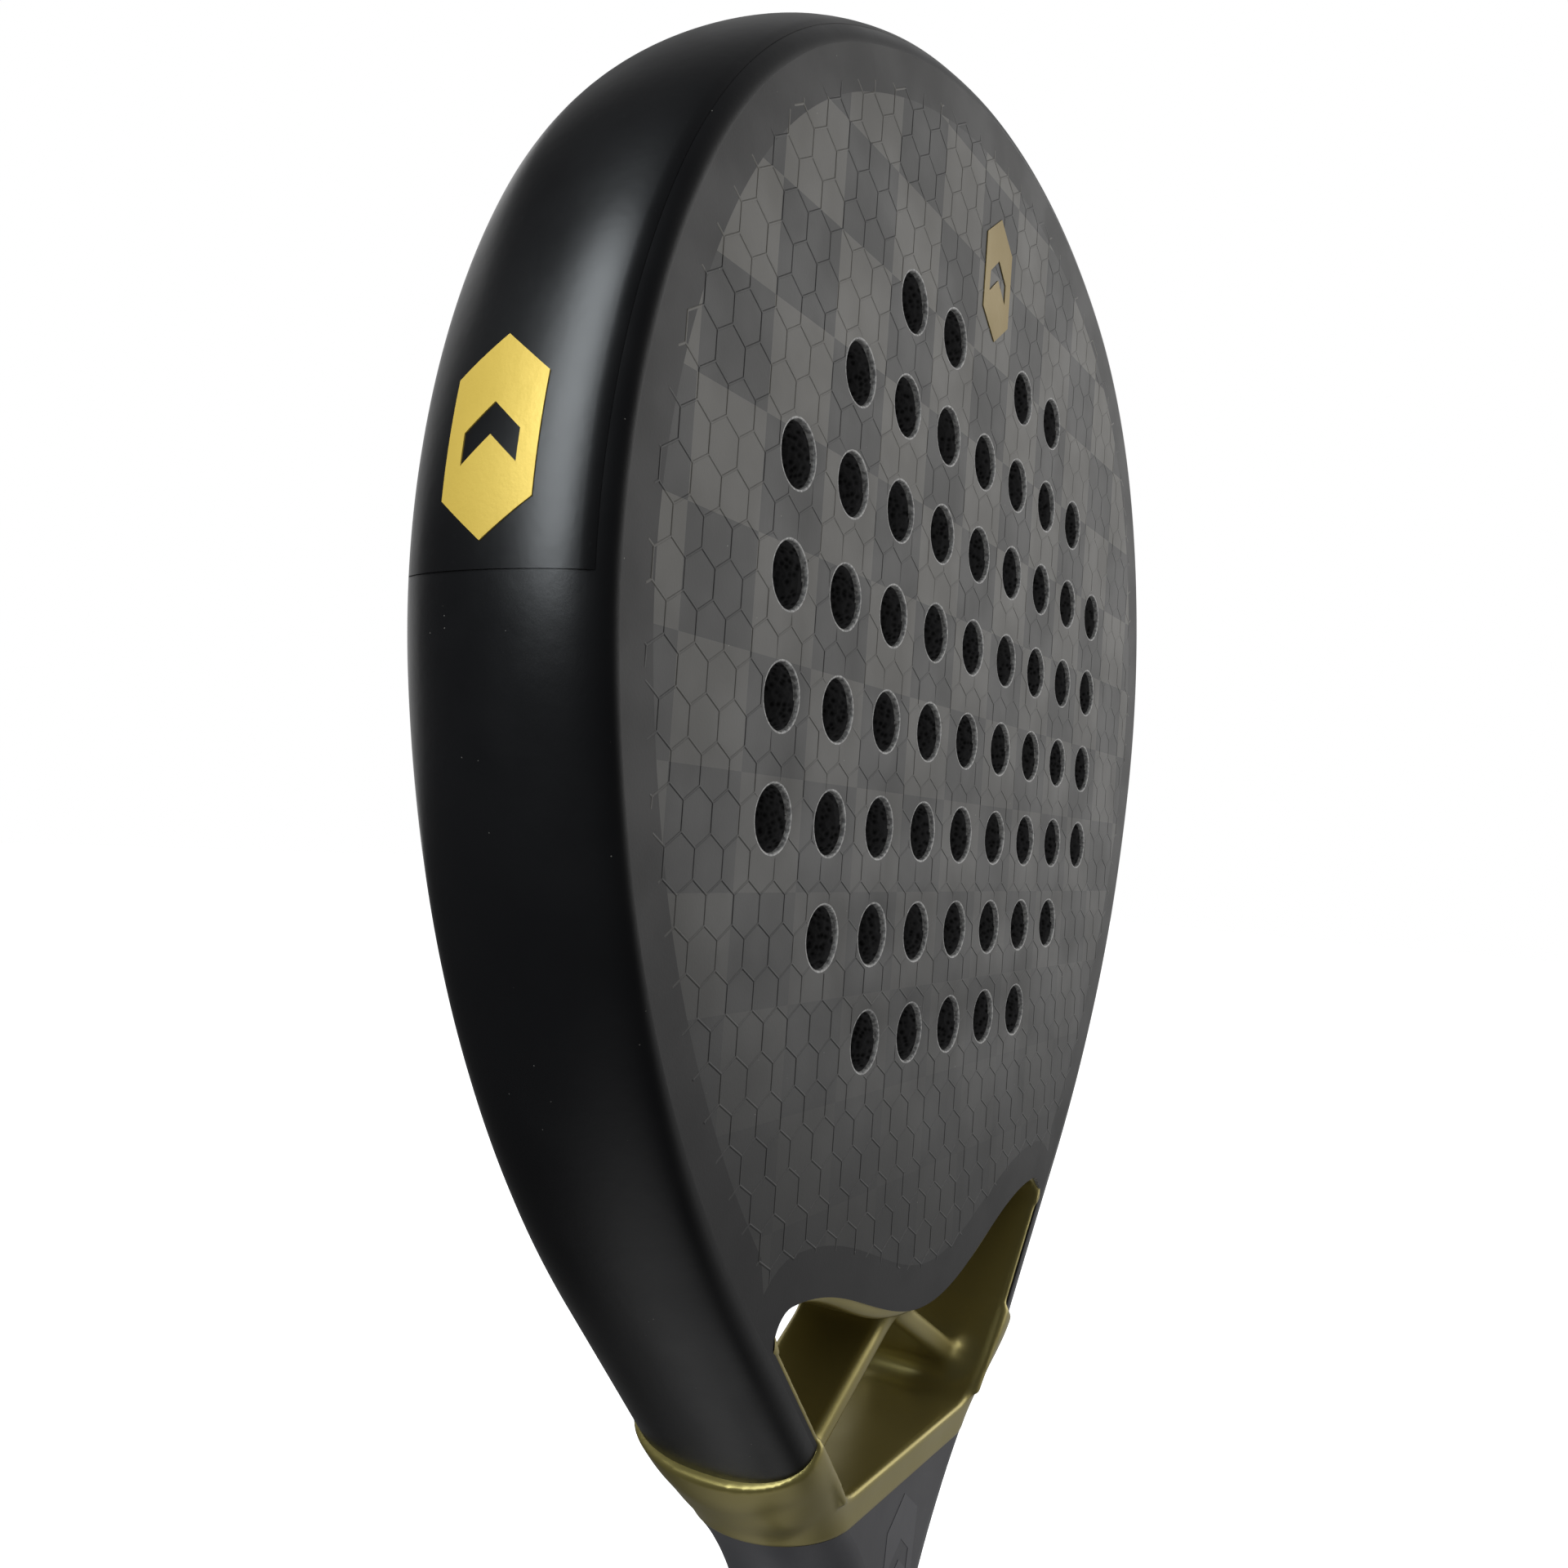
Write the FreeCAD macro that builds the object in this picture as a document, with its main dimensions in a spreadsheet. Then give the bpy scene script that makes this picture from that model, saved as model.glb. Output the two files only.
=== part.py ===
import FreeCAD, Part
import math
import os

import Sketcher

# Padel racket, standing upright on its butt cap: +Z towards the tip of the head,
# X across the width, -Y out of the front face.  Millimetres throughout.
# The origin is the middle of the butt cap's end.

# alias, value, what the size is
SIZES = [
    ("overall_length", 455.0, "butt cap to tip of the head"),
    ("head_width", 259.0, "across the widest part of the head"),
    ("racket_thickness", 37.0, "front face to back face"),
    ("top_angle", 26.6, "turn of the top arc, degrees from the middle"),
    ("shoulder_radius", 101.0, "outline radius at the shoulders"),
    ("shoulder_angle", 36.8, "turn of the shoulder arc, degrees"),
    ("side_radius", 126.4, "outline radius at the sides"),
    ("side_angle", 35.5, "turn of the side arc, degrees"),
    ("lower_radius", 204.7, "outline radius below the sides"),
    ("arm_angle", 40.7, "lean of the straight arms from vertical, degrees"),
    ("arm_length", 38.5, "straight arm, from the head tube to the collar"),
    ("crown_depth", 7.0, "how far the rim bulges out past the flat face"),
    ("edge_radius", 3.5, "radius where the face turns into the rim"),
    ("tube_width", 10.5, "width of the frame tube in the front view"),
    ("tube_wall", 1.8, "wall of the carbon frame tube"),
    ("skin_thickness", 0.8, "thickness of each face laminate"),
    ("hole_diameter", 11.0, "holes through the hitting face"),
    ("hole_pitch", 19.5, "distance between neighbouring holes"),
    ("hole_drop", 134.8, "tip to the middle row of nine holes"),
    ("notch_rise", 4.1, "top of the throat opening above the start of the straight arms"),
    ("lobe_depth", 14.6, "how far the middle of the bridge hangs down"),
    ("bridge_height", 12.7, "bridge above the top of the throat opening"),
    ("notch_radius", 4.0, "upper outer corners of the throat opening"),
    ("liner_thickness", 1.2, "gold wall on the inside of each arm"),
    ("floor_drop", 39.7, "start of the straight arms to the floor of the throat opening"),
    ("collar_drop", 46.7, "start of the straight arms to the lower edge of the collar"),
    ("collar_proud", 1.6, "how far the collar stands out from arms and neck"),
    ("collar_round", 9.0, "rounding of the collar's outer edges"),
    ("strut_thickness", 5.5, "throat strut in the front view"),
    ("strut_depth", 22.0, "throat strut from front to back"),
    ("strut_rise", 9.5, "top of the strut's foot above the throat floor"),
    ("strut_seat", 6.0, "contact of each strut with the bridge, from the middle"),
    ("strut_round", 2.2, "rounding of the strut's front and back edges"),
    ("neck_depth", 31.6, "neck from front to back under the collar"),
    ("neck_length", 56.5, "from the collar down to the straight handle"),
    ("handle_width", 34.0, "bare handle from side to side"),
    ("handle_depth", 26.4, "bare handle from front to back"),
    ("handle_wall", 2.2, "wall of the carbon handle and neck"),
    ("wrap_thickness", 1.8, "cushioned base grip wound on the handle"),
    ("tape_height", 12.0, "finishing tape at the top of the grip"),
    ("tape_thickness", 0.3, "finishing tape"),
    ("ring_height", 10.0, "rubber ring that holds the top of the grip"),
    ("ring_thickness", 1.4, "rubber ring"),
    ("cap_height", 20.0, "butt cap"),
    ("cap_base", 10.0, "solid end of the butt cap below the handle"),
    ("cap_flare", 4.6, "how far the butt cap stands out past the handle"),
    ("cap_lip", 0.4, "how far the top of the butt cap stands out past the base grip"),
    ("cap_clearance", 0.1, "gap between the handle and the cap's socket"),
    ("strap_bore", 5.5, "hole through the butt cap for a wrist strap"),
    ("strap_bore_height", 5.0, "middle of the strap hole above the end"),
    ("emblem_thickness", 0.2, "metallic decal"),
    ("side_emblem_length", 29.0, "decal on the rim"),
    ("side_emblem_drop", 105.7, "tip to the middle of the decal on the rim"),
    ("face_emblem_length", 26.0, "decal on each face"),
    ("face_emblem_rise", 97.0, "decal on each face above the middle row of holes"),
    ("neck_emblem_length", 27.0, "decal on the neck"),
    ("neck_emblem_drop", 16.5, "middle of the neck decal below the collar"),
    ("film_thickness", 0.25, "clear protector film on the rim"),
    ("film_width", 33.0, "protector film from front to back"),
    ("film_side_angle", 29.2, "how far the film runs down the side arc, degrees"),
]

# holes in each row, from the tip down, as column numbers from the middle
HOLE_ROWS = [
    (-4, (-2, -1, 1, 2)),
    (-3, range(-3, 4)),
    (-2, range(-4, 5)),
    (-1, range(-4, 5)),
    (0, range(-4, 5)),
    (1, range(-4, 5)),
    (2, range(-3, 4)),
    (3, range(-2, 3)),
]

doc = FreeCAD.newDocument("padel_racket")
sheet = doc.addObject("Spreadsheet::Sheet", "Sizes")
for line, (alias, value, note) in enumerate(SIZES, start=1):
    sheet.set("A%d" % line, alias)
    sheet.set("B%d" % line, str(value))
    sheet.setAlias("B%d" % line, alias)
    sheet.set("C%d" % line, note)
doc.recompute()


def size(alias):
    return float(sheet.get(alias))


HALF_THICK = size("racket_thickness") / 2
TIP_Z = size("overall_length")
HOLE_ROW_Z = TIP_Z - size("hole_drop")
INNER = size("tube_width")
LINER = size("tube_width") + size("liner_thickness")

# two positions closer than this are the same
SAME = 0.01

# butt cap, from the end up: share of its height, share of its flare
CAP_STATIONS = [(0.0, 0.55), (0.125, 0.96), (0.35, 1.0), (0.65, 0.75)]

# the mark on the decals, as shares of its length
MARK_HALF_WIDTH = 0.27
MARK_SHOULDER = 0.3
CHEVRON_HALF_WIDTH = 0.167
CHEVRON_TIP = 0.16
CHEVRON_SIDE = 0.02
CHEVRON_FOOT = -0.14


# ---------------------------------------------------------------- outline

def head_arcs():
    """Right half of the outline as tangent arcs (centre x, centre z, radius,
    heading in, heading out); a heading turns clockwise from +X."""
    turn_a = math.radians(size("top_angle"))
    turn_b = turn_a + math.radians(size("shoulder_angle"))
    turn_c = turn_b + math.radians(size("side_angle"))
    turn_d = math.pi / 2 + math.radians(size("arm_angle"))
    shoulder = size("shoulder_radius") * (math.sin(turn_b) - math.sin(turn_a))
    side = size("side_radius") * (1 - math.sin(turn_b))
    top_radius = (size("head_width") / 2 - shoulder - side) / math.sin(turn_a)
    radii = (top_radius, size("shoulder_radius"), size("side_radius"), size("lower_radius"))
    headings = (0.0, turn_a, turn_b, turn_c, turn_d)
    x, z = 0.0, TIP_Z
    arcs = []
    for radius, start, end in zip(radii, headings, headings[1:]):
        cx = x - radius * math.sin(start)
        cz = z - radius * math.cos(start)
        arcs.append((cx, cz, radius, start, end))
        x = cx + radius * math.sin(end)
        z = cz + radius * math.cos(end)
    return arcs, (x, z), turn_d


ARCS, ARM_TOP, ARM_HEADING = head_arcs()
ARM_DIR = (math.cos(ARM_HEADING), -math.sin(ARM_HEADING))
ARM_IN = (-math.sin(ARM_HEADING), -math.cos(ARM_HEADING))
NOTCH_Z = ARM_TOP[1] + size("notch_rise")
LOBE_Z = NOTCH_Z - size("lobe_depth")
BRIDGE_TOP_Z = NOTCH_Z + size("bridge_height")
FLOOR_Z = ARM_TOP[1] - size("floor_drop")
COLLAR_Z = ARM_TOP[1] - size("collar_drop")
HANDLE_TOP_Z = COLLAR_Z - size("neck_length")
last_line = len(SIZES) + 1
sheet.set("A%d" % last_line, "handle_top")
sheet.set("B%d" % last_line, str(HANDLE_TOP_Z))
sheet.setAlias("B%d" % last_line, "handle_top")
sheet.set("C%d" % last_line, "worked out: top of the straight handle above the butt")
doc.recompute()


def arm_point(along, inward):
    """Point on the right arm: a distance down the arm, and in from its outside."""
    x = ARM_TOP[0] + along * ARM_DIR[0] + inward * ARM_IN[0]
    z = ARM_TOP[1] + along * ARM_DIR[1] + inward * ARM_IN[1]
    return (x, z)


def arm_x(z, inward):
    """Where the line that far in from the arm's outside crosses a height."""
    along = (z - ARM_TOP[1] - inward * ARM_IN[1]) / ARM_DIR[1]
    return arm_point(along, inward)[0]


def crossing(arc, inward, z):
    """Heading at which an inset arc crosses a height."""
    cz, radius = arc[1:3]
    return math.acos((z - cz) / (radius - inward))


def half_arcs(inward, top=None, bottom=None):
    """The right half's arcs, inset, between two heights."""
    pieces = []
    for cx, cz, radius, start, end in ARCS:
        arc = (cx, cz, radius, start, end)
        inset = radius - inward
        high = cz + inset * math.cos(start)
        low = cz + inset * math.cos(end)
        if bottom is not None and high <= bottom:
            continue
        if top is not None and low >= top:
            continue
        if bottom is not None and low < bottom:
            end = crossing(arc, inward, bottom)
        if top is not None and high > top:
            start = crossing(arc, inward, top)
        pieces.append((cx, cz, inset, start, end))
    return pieces


def arc_edge(cx, cz, radius, start, end):
    """Arc between two polar angles, counterclockwise, in a sketch."""
    circle = Part.Circle(FreeCAD.Vector(cx, cz, 0), FreeCAD.Vector(0, 0, 1), radius)
    return Part.ArcOfCircle(circle, start, end)


def line_edge(start, end):
    return Part.LineSegment(FreeCAD.Vector(*start, 0), FreeCAD.Vector(*end, 0))


def chain(points, closed=True):
    """Straight edges through a list of points."""
    ends = points[1:] + points[:1] if closed else points[1:]
    return [line_edge(start, end) for start, end in zip(points, ends)]


def right_arc_edges(pieces):
    quarter = math.pi / 2
    return [arc_edge(cx, cz, r, quarter - b, quarter - a) for cx, cz, r, a, b in pieces]


def left_arc_edges(pieces):
    quarter = math.pi / 2
    return [arc_edge(-cx, cz, r, quarter + a, quarter + b) for cx, cz, r, a, b in pieces]


def arc_end(piece):
    cx, cz, radius, start, end = piece
    return (cx + radius * math.sin(end), cz + radius * math.cos(end))


def arc_start(piece):
    cx, cz, radius, start, end = piece
    return (cx + radius * math.sin(start), cz + radius * math.cos(start))


def mirrored(point):
    return (-point[0], point[1])


# ------------------------------------------------------------ throat opening

CORNER_Z = NOTCH_Z - size("notch_radius")
CORNER_X = arm_x(CORNER_Z, LINER + size("notch_radius"))
WAVE_HALF = CORNER_X / 2
WAVE_RADIUS = (WAVE_HALF**2 + (size("lobe_depth") / 2) ** 2) / size("lobe_depth")
WAVE_TURN = math.asin(WAVE_HALF / WAVE_RADIUS)


def wave_edges():
    """Lower edge of the bridge: two hollows with a lobe hanging between them."""
    down = -math.pi / 2
    up = math.pi / 2
    return [
        arc_edge(CORNER_X, NOTCH_Z - WAVE_RADIUS, WAVE_RADIUS, up, up + WAVE_TURN),
        arc_edge(0, LOBE_Z + WAVE_RADIUS, WAVE_RADIUS, down - WAVE_TURN, down + WAVE_TURN),
        arc_edge(-CORNER_X, NOTCH_Z - WAVE_RADIUS, WAVE_RADIUS, up - WAVE_TURN, up),
    ]


def bridge_foot_edges():
    """The wave, run out level to the inside of each arm."""
    reach = arm_x(NOTCH_Z, INNER)
    return wave_edges() + [
        line_edge((reach, NOTCH_Z), (CORNER_X, NOTCH_Z)),
        line_edge((-reach, NOTCH_Z), (-CORNER_X, NOTCH_Z)),
    ]


# ------------------------------------------------------------------ helpers

def new_body(label):
    body = doc.addObject("PartDesign::Body", label)
    body.Label = label
    return body


def new_sketch(body, plane, name, edges, offset=0.0):
    """Sketch on one of the body's own origin planes, moved along its normal."""
    sketch = body.newObject("Sketcher::SketchObject", name)
    base = [o for o in body.Origin.OriginFeatures if o.Role == plane][0]
    sketch.AttachmentSupport = [(base, "")]
    sketch.MapMode = "FlatFace"
    sketch.AttachmentOffset = FreeCAD.Placement(
        FreeCAD.Vector(0, 0, offset), FreeCAD.Rotation()
    )
    for edge in edges:
        sketch.addGeometry(edge, False)
    return sketch


def new_pad(body, sketch, name, length, symmetric=True):
    """Pad whose length is an expression on the sheet."""
    pad = body.newObject("PartDesign::Pad", name)
    pad.Profile = sketch
    pad.SideType = "Symmetric" if symmetric else "One side"
    pad.setExpression("Length", length)
    return pad


def cut_through(body, sketch, name):
    """Pocket both ways through the whole body."""
    pocket = body.newObject("PartDesign::Pocket", name)
    pocket.Profile = sketch
    pocket.SideType = "Symmetric"
    pocket.setExpression("Length", "2 * Sizes.racket_thickness")
    return pocket


def circle_sketch(body, plane, name, centres, diameter_alias):
    """Equal circles whose diameter is tied to the sheet."""
    edges = [
        Part.Circle(FreeCAD.Vector(x, z, 0), FreeCAD.Vector(0, 0, 1), size(diameter_alias) / 2)
        for x, z in centres
    ]
    sketch = new_sketch(body, plane, name, edges)
    first = sketch.addConstraint(Sketcher.Constraint("Diameter", 0, size(diameter_alias)))
    sketch.setExpression("Constraints[%d]" % first, "Sizes." + diameter_alias)
    for index in range(1, len(edges)):
        sketch.addConstraint(Sketcher.Constraint("Equal", 0, index))
    for index, (x, z) in enumerate(centres):
        sketch.addConstraint(Sketcher.Constraint("DistanceX", -1, 1, index, 3, x))
        sketch.addConstraint(Sketcher.Constraint("DistanceY", -1, 1, index, 3, z))
    return sketch


def stadium(half_width, half_depth):
    """Flat front and back joined by half circles."""
    straight = half_width - half_depth
    up = math.pi / 2
    return [
        line_edge((-straight, -half_depth), (straight, -half_depth)),
        arc_edge(straight, 0, half_depth, -up, up),
        line_edge((straight, half_depth), (-straight, half_depth)),
        arc_edge(-straight, 0, half_depth, up, 3 * up),
    ]


def stadium_ring(label, grow_in, grow_out, base_z, height_alias):
    """Sleeve round the straight handle, between two distances from its surface."""
    half_width = size("handle_width") / 2
    half_depth = size("handle_depth") / 2
    body = new_body(label)
    edges = stadium(half_width + grow_in, half_depth + grow_in)
    edges += stadium(half_width + grow_out, half_depth + grow_out)
    sketch = new_sketch(body, "XY_Plane", label + "_section", edges, base_z)
    new_pad(body, sketch, label + "_pad", height_alias, symmetric=False)
    return body


# ------------------------------------------------------------- frame tube

def crown_radius():
    """Radius of the bulging rim, tangent to both edge roundings."""
    rise = HALF_THICK - size("edge_radius")
    depth = size("crown_depth")
    edge = size("edge_radius")
    return (depth**2 + rise**2 - edge**2) / (2 * (depth - edge))


CROWN = crown_radius()
EDGE_TURN = math.atan2(CROWN - size("crown_depth"), HALF_THICK - size("edge_radius"))


def rim_edges(place, grow=0.0):
    """Rounded outside of the tube; place turns (y, inward) into sketch axes."""
    edge = size("edge_radius") + grow
    rise = HALF_THICK - size("edge_radius")
    depth = size("crown_depth")
    tangent_y = rise + edge * math.cos(EDGE_TURN)
    tangent_in = depth - edge * math.sin(EDGE_TURN)
    middle = EDGE_TURN / 2
    bend = (rise + edge * math.cos(middle), depth - edge * math.sin(middle))

    def through(*points):
        return Part.Arc(*[FreeCAD.Vector(*place(*p), 0) for p in points])

    front = through((-rise - edge, depth), (-bend[0], bend[1]), (-tangent_y, tangent_in))
    rim = through((-tangent_y, tangent_in), (0, -grow), (tangent_y, tangent_in))
    back = through((tangent_y, tangent_in), bend, (rise + edge, depth))
    return [front, rim, back]


def cavity_edges(place):
    """Hollow of the tube: a wall's thickness inside the rim, skin and back wall."""
    wall = size("tube_wall")
    reach = HALF_THICK - size("skin_thickness") - wall
    inset = CROWN - math.sqrt((CROWN - wall) ** 2 - reach**2)
    far = size("tube_width") - wall
    rim = Part.Arc(*[
        FreeCAD.Vector(*place(*p), 0) for p in ((-reach, inset), (0, wall), (reach, inset))
    ])
    corners = [(reach, inset), (reach, far), (-reach, far), (-reach, inset)]
    return [rim] + chain([place(*p) for p in corners], closed=False)


def tube_edges(place, rebate):
    """Outside of the tube, with a step for the face laminate where it has one."""
    depth = size("crown_depth")
    step = HALF_THICK - rebate
    corners = [(step, INNER), (-step, INNER)]
    if rebate:
        corners = [(step, depth)] + corners + [(-step, depth)]
    corners = [(HALF_THICK, depth)] + corners + [(-HALF_THICK, depth)]
    return rim_edges(place) + chain([place(*p) for p in corners], closed=False)


def head_place(y, inward):
    """Tube section at the tip: sketch x is Y, sketch y is Z."""
    return (y, TIP_Z - inward)


def arm_place(y, inward):
    """Tube section across an arm, in the arm's own frame."""
    return (inward, y)


def head_sweep(label, profile_edges, arcs=None):
    """Section swept from the tip round the right side, then mirrored."""
    body = new_body(label)
    path_edges = right_arc_edges(half_arcs(0.0) if arcs is None else arcs)
    path = new_sketch(body, "XZ_Plane", label + "_path", path_edges)
    profile = new_sketch(body, "YZ_Plane", label + "_section", profile_edges)
    pipe = body.newObject("PartDesign::AdditivePipe", label + "_sweep")
    pipe.Profile = profile
    pipe.Spine = path
    doc.recompute()
    mirror = body.newObject("PartDesign::Mirrored", label + "_mirror")
    plane = [o for o in body.Origin.OriginFeatures if o.Role == "YZ_Plane"][0]
    mirror.MirrorPlane = (plane, [""])
    mirror.Originals = [pipe]
    body.Tip = mirror
    return body


def head_frame_tube():
    edges = tube_edges(head_place, size("skin_thickness")) + cavity_edges(head_place)
    return head_sweep("head_frame_tube", edges)


def head_frame_foam():
    return head_sweep("head_frame_foam", cavity_edges(head_place))


def edge_film():
    """Clear film over the top of the rim, down to part of each side."""
    grow = size("film_thickness")
    half = size("film_width") / 2
    outer = CROWN + grow
    inset = CROWN - math.sqrt(CROWN**2 - half**2)
    outset = CROWN - math.sqrt(outer**2 - half**2)

    def through(*points):
        return Part.Arc(*[FreeCAD.Vector(*head_place(*p), 0) for p in points])

    edges = [
        through((-half, inset), (0, 0), (half, inset)),
        line_edge(head_place(half, inset), head_place(half, outset)),
        through((half, outset), (0, -grow), (-half, outset)),
        line_edge(head_place(-half, outset), head_place(-half, inset)),
    ]
    arcs = half_arcs(0.0)[:3]
    cx, cz, radius, start, end = arcs[2]
    arcs[2] = (cx, cz, radius, start, start + math.radians(size("film_side_angle")))
    return head_sweep("edge_film", edges, arcs)


def arm_placement(side):
    """Arm frame: x inwards, y the racket's Y, z down the arm."""
    x, z = ARM_TOP
    matrix = FreeCAD.Matrix(
        ARM_IN[0], 0, ARM_DIR[0], x,
        0, 1, 0, 0,
        ARM_IN[1], 0, ARM_DIR[1], z,
        0, 0, 0, 1,
    )
    placement = FreeCAD.Placement(matrix)
    if side < 0:
        half_turn = FreeCAD.Rotation(FreeCAD.Vector(0, 0, 1), 180)
        placement = FreeCAD.Placement(FreeCAD.Vector(), half_turn) * placement
    return placement


def arm(label, side, edges):
    body = new_body(label)
    sketch = new_sketch(body, "XY_Plane", label + "_section", edges)
    new_pad(body, sketch, label + "_pad", "Sizes.arm_length", symmetric=False)
    body.Placement = arm_placement(side)
    return body


# ----------------------------------------------------------- head and bridge

def hole_centres():
    pitch = size("hole_pitch")
    return [
        (column * pitch, HOLE_ROW_Z - row * pitch)
        for row, columns in HOLE_ROWS
        for column in columns
    ]


def head_core():
    """Foam block that fills the frame above the bridge, pierced by the holes."""
    body = new_body("head_core")
    pieces = half_arcs(INNER, bottom=BRIDGE_TOP_Z)
    corner = arc_end(pieces[-1])
    edges = right_arc_edges(pieces) + left_arc_edges(pieces)
    edges += [line_edge(mirrored(corner), corner)]
    sketch = new_sketch(body, "XZ_Plane", "head_core_outline", edges)
    new_pad(body, sketch, "head_core_pad", "Sizes.racket_thickness - 2 * Sizes.skin_thickness")
    holes = circle_sketch(body, "XZ_Plane", "head_core_holes", hole_centres(), "hole_diameter")
    cut_through(body, holes, "head_core_drilling")
    return body


def face_skin(label, front):
    """Face laminate: lies in the tube's step, over core and bridge."""
    body = new_body(label)
    land = size("crown_depth")
    pieces = half_arcs(land)
    outer = arc_end(pieces[-1])
    inner = arm_point(0, INNER)
    foot = (arm_x(NOTCH_Z, INNER), NOTCH_Z)
    edges = right_arc_edges(pieces) + left_arc_edges(pieces) + bridge_foot_edges()
    side = chain([outer, inner, foot], closed=False)
    other = chain([mirrored(p) for p in (outer, inner, foot)], closed=False)
    offset = HALF_THICK - size("skin_thickness")
    # the plane's normal is -Y, so the front skin has a positive offset
    place = offset if front else -HALF_THICK
    sketch = new_sketch(body, "XZ_Plane", label + "_outline", edges + side + other, place)
    new_pad(body, sketch, label + "_pad", "Sizes.skin_thickness", symmetric=False)
    holes = circle_sketch(body, "XZ_Plane", label + "_holes", hole_centres(), "hole_diameter")
    cut_through(body, holes, label + "_drilling")
    return body


def throat_bridge():
    """Cross piece that closes the bottom of the head."""
    body = new_body("throat_bridge")
    pieces = half_arcs(INNER, top=BRIDGE_TOP_Z)
    top = arc_start(pieces[0])
    inner = arm_point(0, INNER)
    foot = (arm_x(NOTCH_Z, INNER), NOTCH_Z)
    edges = right_arc_edges(pieces) + left_arc_edges(pieces) + bridge_foot_edges()
    edges += [
        line_edge(mirrored(top), top),
        line_edge(inner, foot),
        line_edge(mirrored(inner), mirrored(foot)),
    ]
    sketch = new_sketch(body, "XZ_Plane", "throat_bridge_outline", edges)
    new_pad(
        body, sketch, "throat_bridge_pad", "Sizes.racket_thickness - 2 * Sizes.skin_thickness"
    )
    return body


# ---------------------------------------------------------------- throat

def sided(points, side):
    return [(side * x, z) for x, z in points]


def throat_liner(label, side):
    """Thin gold wall on the inside of an arm, with the opening's rounded corner."""
    body = new_body(label)
    radius = size("notch_radius")
    length = size("arm_length")
    turn = math.radians(size("arm_angle"))
    touch = (CORNER_X + radius * math.cos(turn), CORNER_Z - radius * math.sin(turn))
    points = [
        touch,
        arm_point(length, LINER),
        arm_point(length, INNER),
        (arm_x(NOTCH_Z, INNER), NOTCH_Z),
        (CORNER_X, NOTCH_Z),
    ]
    edges = chain(sided(points, side), closed=False)
    if side > 0:
        edges.append(arc_edge(CORNER_X, CORNER_Z, radius, -turn, math.pi / 2))
    else:
        edges.append(arc_edge(-CORNER_X, CORNER_Z, radius, math.pi / 2, math.pi + turn))
    sketch = new_sketch(body, "XZ_Plane", label + "_outline", edges)
    new_pad(body, sketch, label + "_pad", "Sizes.racket_thickness")
    return body


def strut(label, side):
    """Leg of the inverted V, from the bridge's lobe down to the collar."""
    body = new_body(label)
    seat = size("strut_seat")
    thick = size("strut_thickness")
    seat_turn = math.asin(seat / WAVE_RADIUS)
    seat_z = LOBE_Z + WAVE_RADIUS * (1 - math.cos(seat_turn))
    foot_top = FLOOR_Z + size("strut_rise")
    foot_low = foot_top - thick
    points = [
        (seat, seat_z),
        (arm_x(foot_top, LINER), foot_top),
        (arm_x(foot_low, LINER), foot_low),
        (0, LOBE_Z - thick),
        (0, LOBE_Z),
    ]
    edges = chain(sided(points, side), closed=False)
    down = -math.pi / 2
    start, end = (down, down + seat_turn) if side > 0 else (down - seat_turn, down)
    edges.append(arc_edge(0, LOBE_Z + WAVE_RADIUS, WAVE_RADIUS, start, end))
    sketch = new_sketch(body, "XZ_Plane", label + "_outline", edges)
    pad = new_pad(body, sketch, label + "_pad", "Sizes.strut_depth")
    doc.recompute()
    half = size("strut_depth") / 2
    long_edges = [
        "Edge%d" % index
        for index, edge in enumerate(pad.Shape.Edges, start=1)
        if edge.Length > arm_x(foot_top, LINER) - 2 * seat
        and abs(abs(edge.CenterOfMass.y) - half) < SAME
    ]
    fillet = body.newObject("PartDesign::Fillet", label + "_rounding")
    fillet.Base = (pad, long_edges)
    fillet.setExpression("Radius", "Sizes.strut_round")
    return body


def neck_half_width(z):
    """Outline of the neck: an arc that leaves the handle straight up and ends
    under the collar, in line with the arms."""
    base = size("handle_width") / 2
    if z <= HANDLE_TOP_Z:
        return base
    top = arm_x(COLLAR_Z, 0.0) + size("collar_proud")
    flare = top - base
    radius = (flare**2 + size("neck_length") ** 2) / (2 * flare)
    return base + radius - math.sqrt(radius**2 - (z - HANDLE_TOP_Z) ** 2)


def neck_half_depth(z):
    base = size("handle_depth") / 2
    if z <= HANDLE_TOP_Z:
        return base
    share = (z - HANDLE_TOP_Z) / size("neck_length")
    return base + (size("neck_depth") / 2 - base) * share * share * (3 - 2 * share)


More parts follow.
